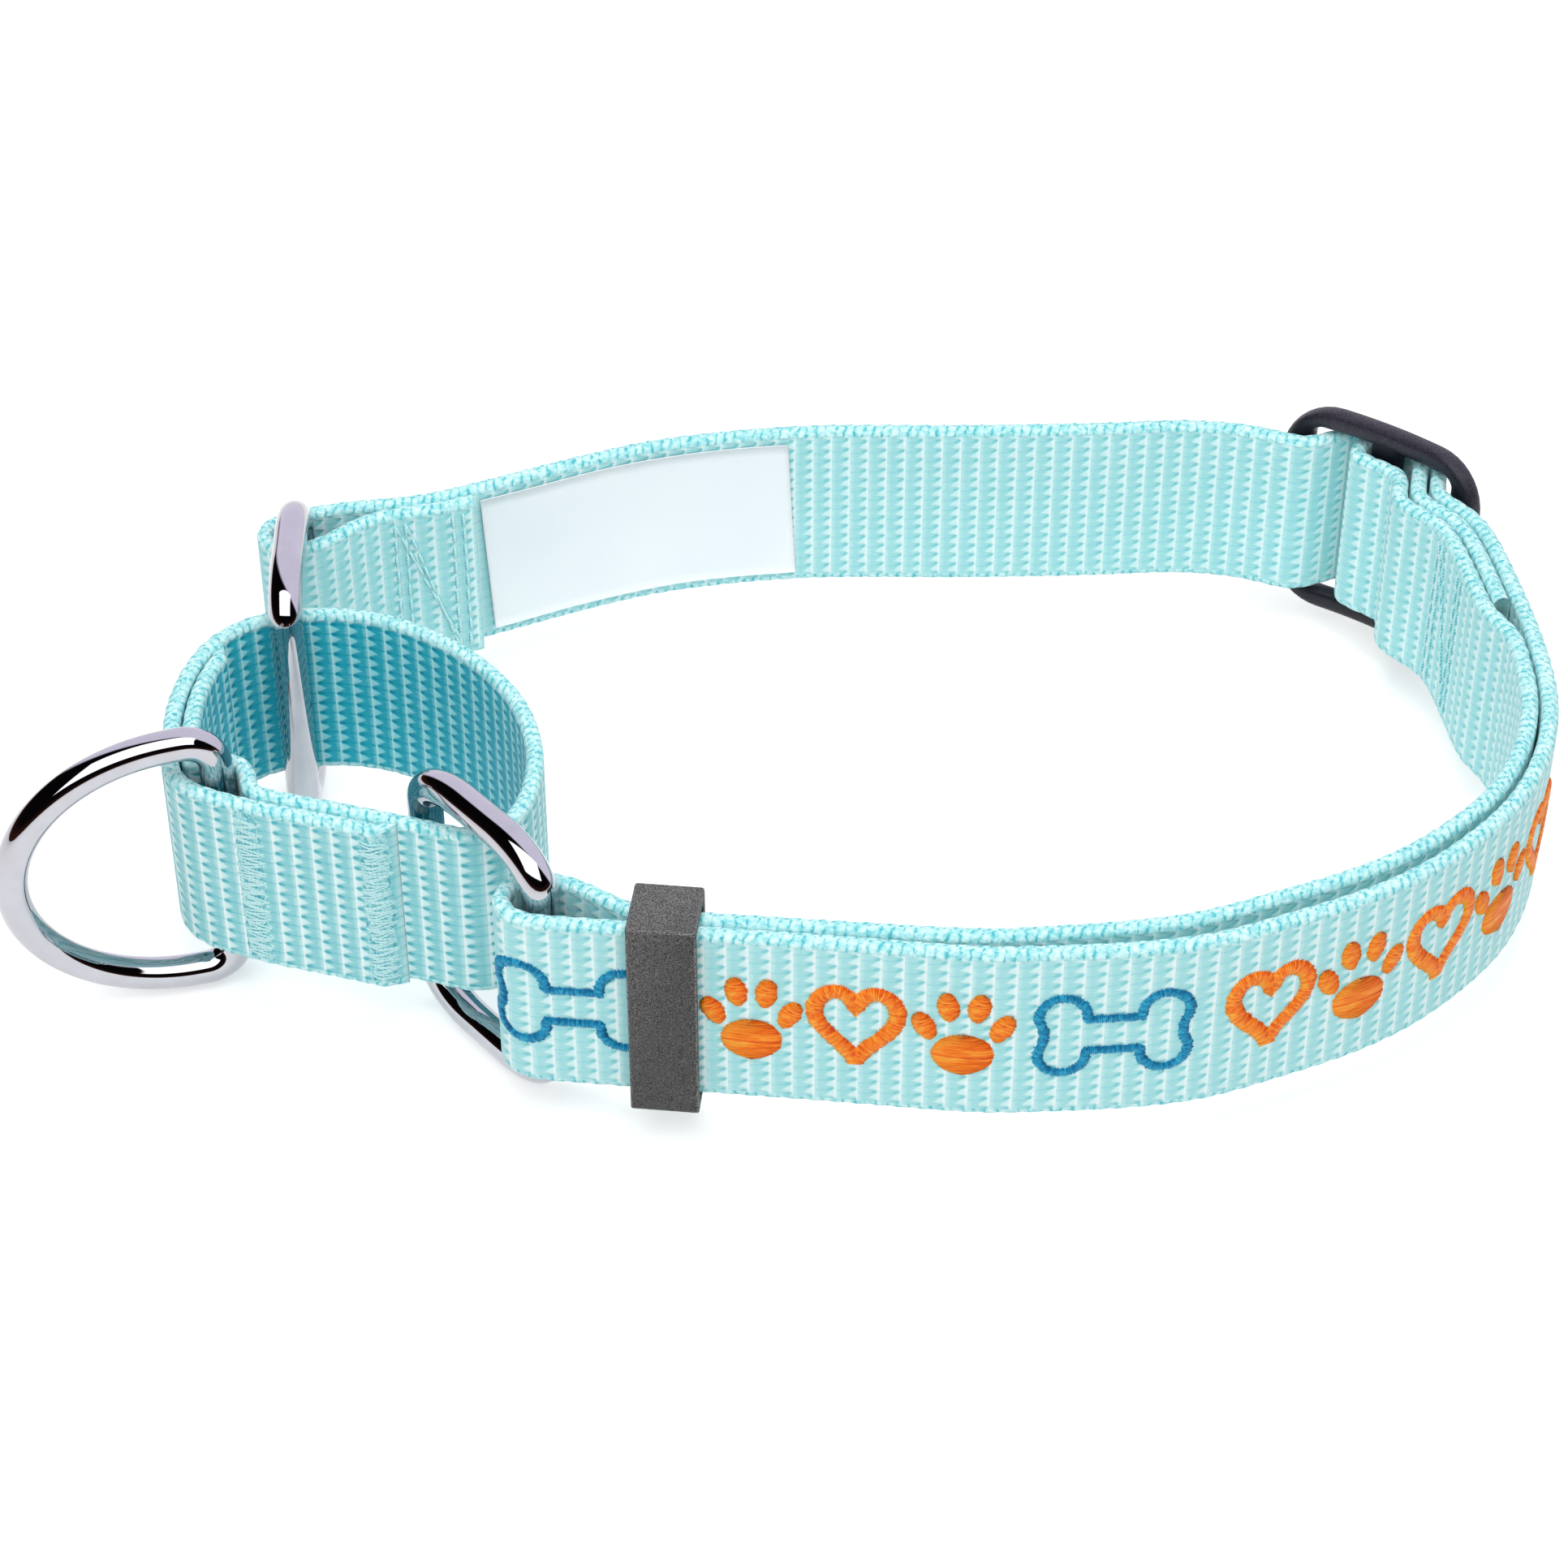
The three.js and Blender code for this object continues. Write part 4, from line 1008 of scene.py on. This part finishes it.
floor_mesh = bpy.data.meshes.new("floor")
floor_mesh.from_pydata([(-4, -4, 0), (4, -4, 0), (4, 4, 0), (-4, 4, 0)], [], [(0, 1, 2, 3)])
floor = bpy.data.objects.new("floor", floor_mesh)
bpy.context.collection.objects.link(floor)
floor_mat, n, floor_shader = material("floor", 0.9)
floor_shader.inputs["Base Color"].default_value = (0.9, 0.9, 0.9, 1)
path = n.add("ShaderNodeLightPath")
lift = n.add("ShaderNodeEmission")
seen = n.math("MAXIMUM", path.outputs["Is Camera Ray"], path.outputs["Is Glossy Ray"])
n.feed(lift.inputs["Strength"], n.math("MULTIPLY", seen, 0.4))
both = n.add("ShaderNodeAddShader")
n.feed(both.inputs[0], floor_shader.outputs[0])
n.feed(both.inputs[1], lift.outputs[0])
n.feed(floor_mat.node_tree.nodes["Material Output"].inputs["Surface"], both.outputs[0])
floor_mesh.materials.append(floor_mat)

# What polished metal sees: a pale backdrop, a dark room in front, and one softbox in it
BOX_SIDE = 0.05
BOX_REACH = 0.55
BOX_LOW = math.radians(30)
BOX_HIGH = math.radians(86)

world = bpy.data.worlds.new("world")
bpy.context.scene.world = world
world.use_nodes = True
n = Nodes(world.node_tree)
path = n.add("ShaderNodeLightPath")
sideways, back, upward = n.parts(n.add("ShaderNodeTexCoord").outputs["Generated"])[:3]
behind = n.math("MULTIPLY_ADD", n.math("ADD", upward, sideways), 0.5, back)
room = n.ramp(upward, [(0.0, colour(64, 36, 28)), (0.2, colour(14, 10, 12)), (1.0, colour(6, 5, 8))])
studio = n.mix(n.smooth(behind, 0.48, 0.62), room, (1.12, 1.06, 1.24, 1))
turned = n.math("ARCTAN2", upward, n.math("MULTIPLY", back, -1.0))
lit = n.math("MULTIPLY", n.smooth(turned, BOX_LOW, BOX_LOW + 0.05),
             n.smooth(turned, BOX_HIGH - 0.05, BOX_HIGH, 1.0, 0.0))
aside = n.math("ABSOLUTE", n.math("SUBTRACT", sideways, BOX_SIDE))
lit = n.math("MULTIPLY", lit, n.smooth(aside, BOX_REACH, BOX_REACH + 0.03, 1.0, 0.0))
studio = n.mix(lit, studio, (2.4, 2.4, 2.4, 1))
shade = n.mix(path.outputs["Is Glossy Ray"], (0.6, 0.6, 0.6, 1), studio)
shade = n.mix(path.outputs["Is Camera Ray"], shade, (1, 1, 1, 1))
background = world.node_tree.nodes["Background"]
n.feed(background.inputs["Color"], shade)
background.inputs["Strength"].default_value = 1


def area_light(name, place, aim, size, power):
    light = bpy.data.lights.new(name, "AREA")
    light.shape = "RECTANGLE"
    light.size, light.size_y = size
    light.energy = power
    obj = bpy.data.objects.new(name, light)
    obj.location = place
    direction = Vector(aim) - Vector(place)
    obj.rotation_euler = direction.to_track_quat("-Z", "Y").to_euler()
    obj.visible_glossy = False
    bpy.context.collection.objects.link(obj)


area_light("key", (-0.1, -0.5, 0.75), (0, 0, 0.02), (0.5, 0.4), 2.6)
area_light("middle", (0.02, -0.02, 0.4), (0.02, 0.03, 0.02), (0.2, 0.12), 0.5)

bpy.context.scene.view_settings.view_transform = "Standard"
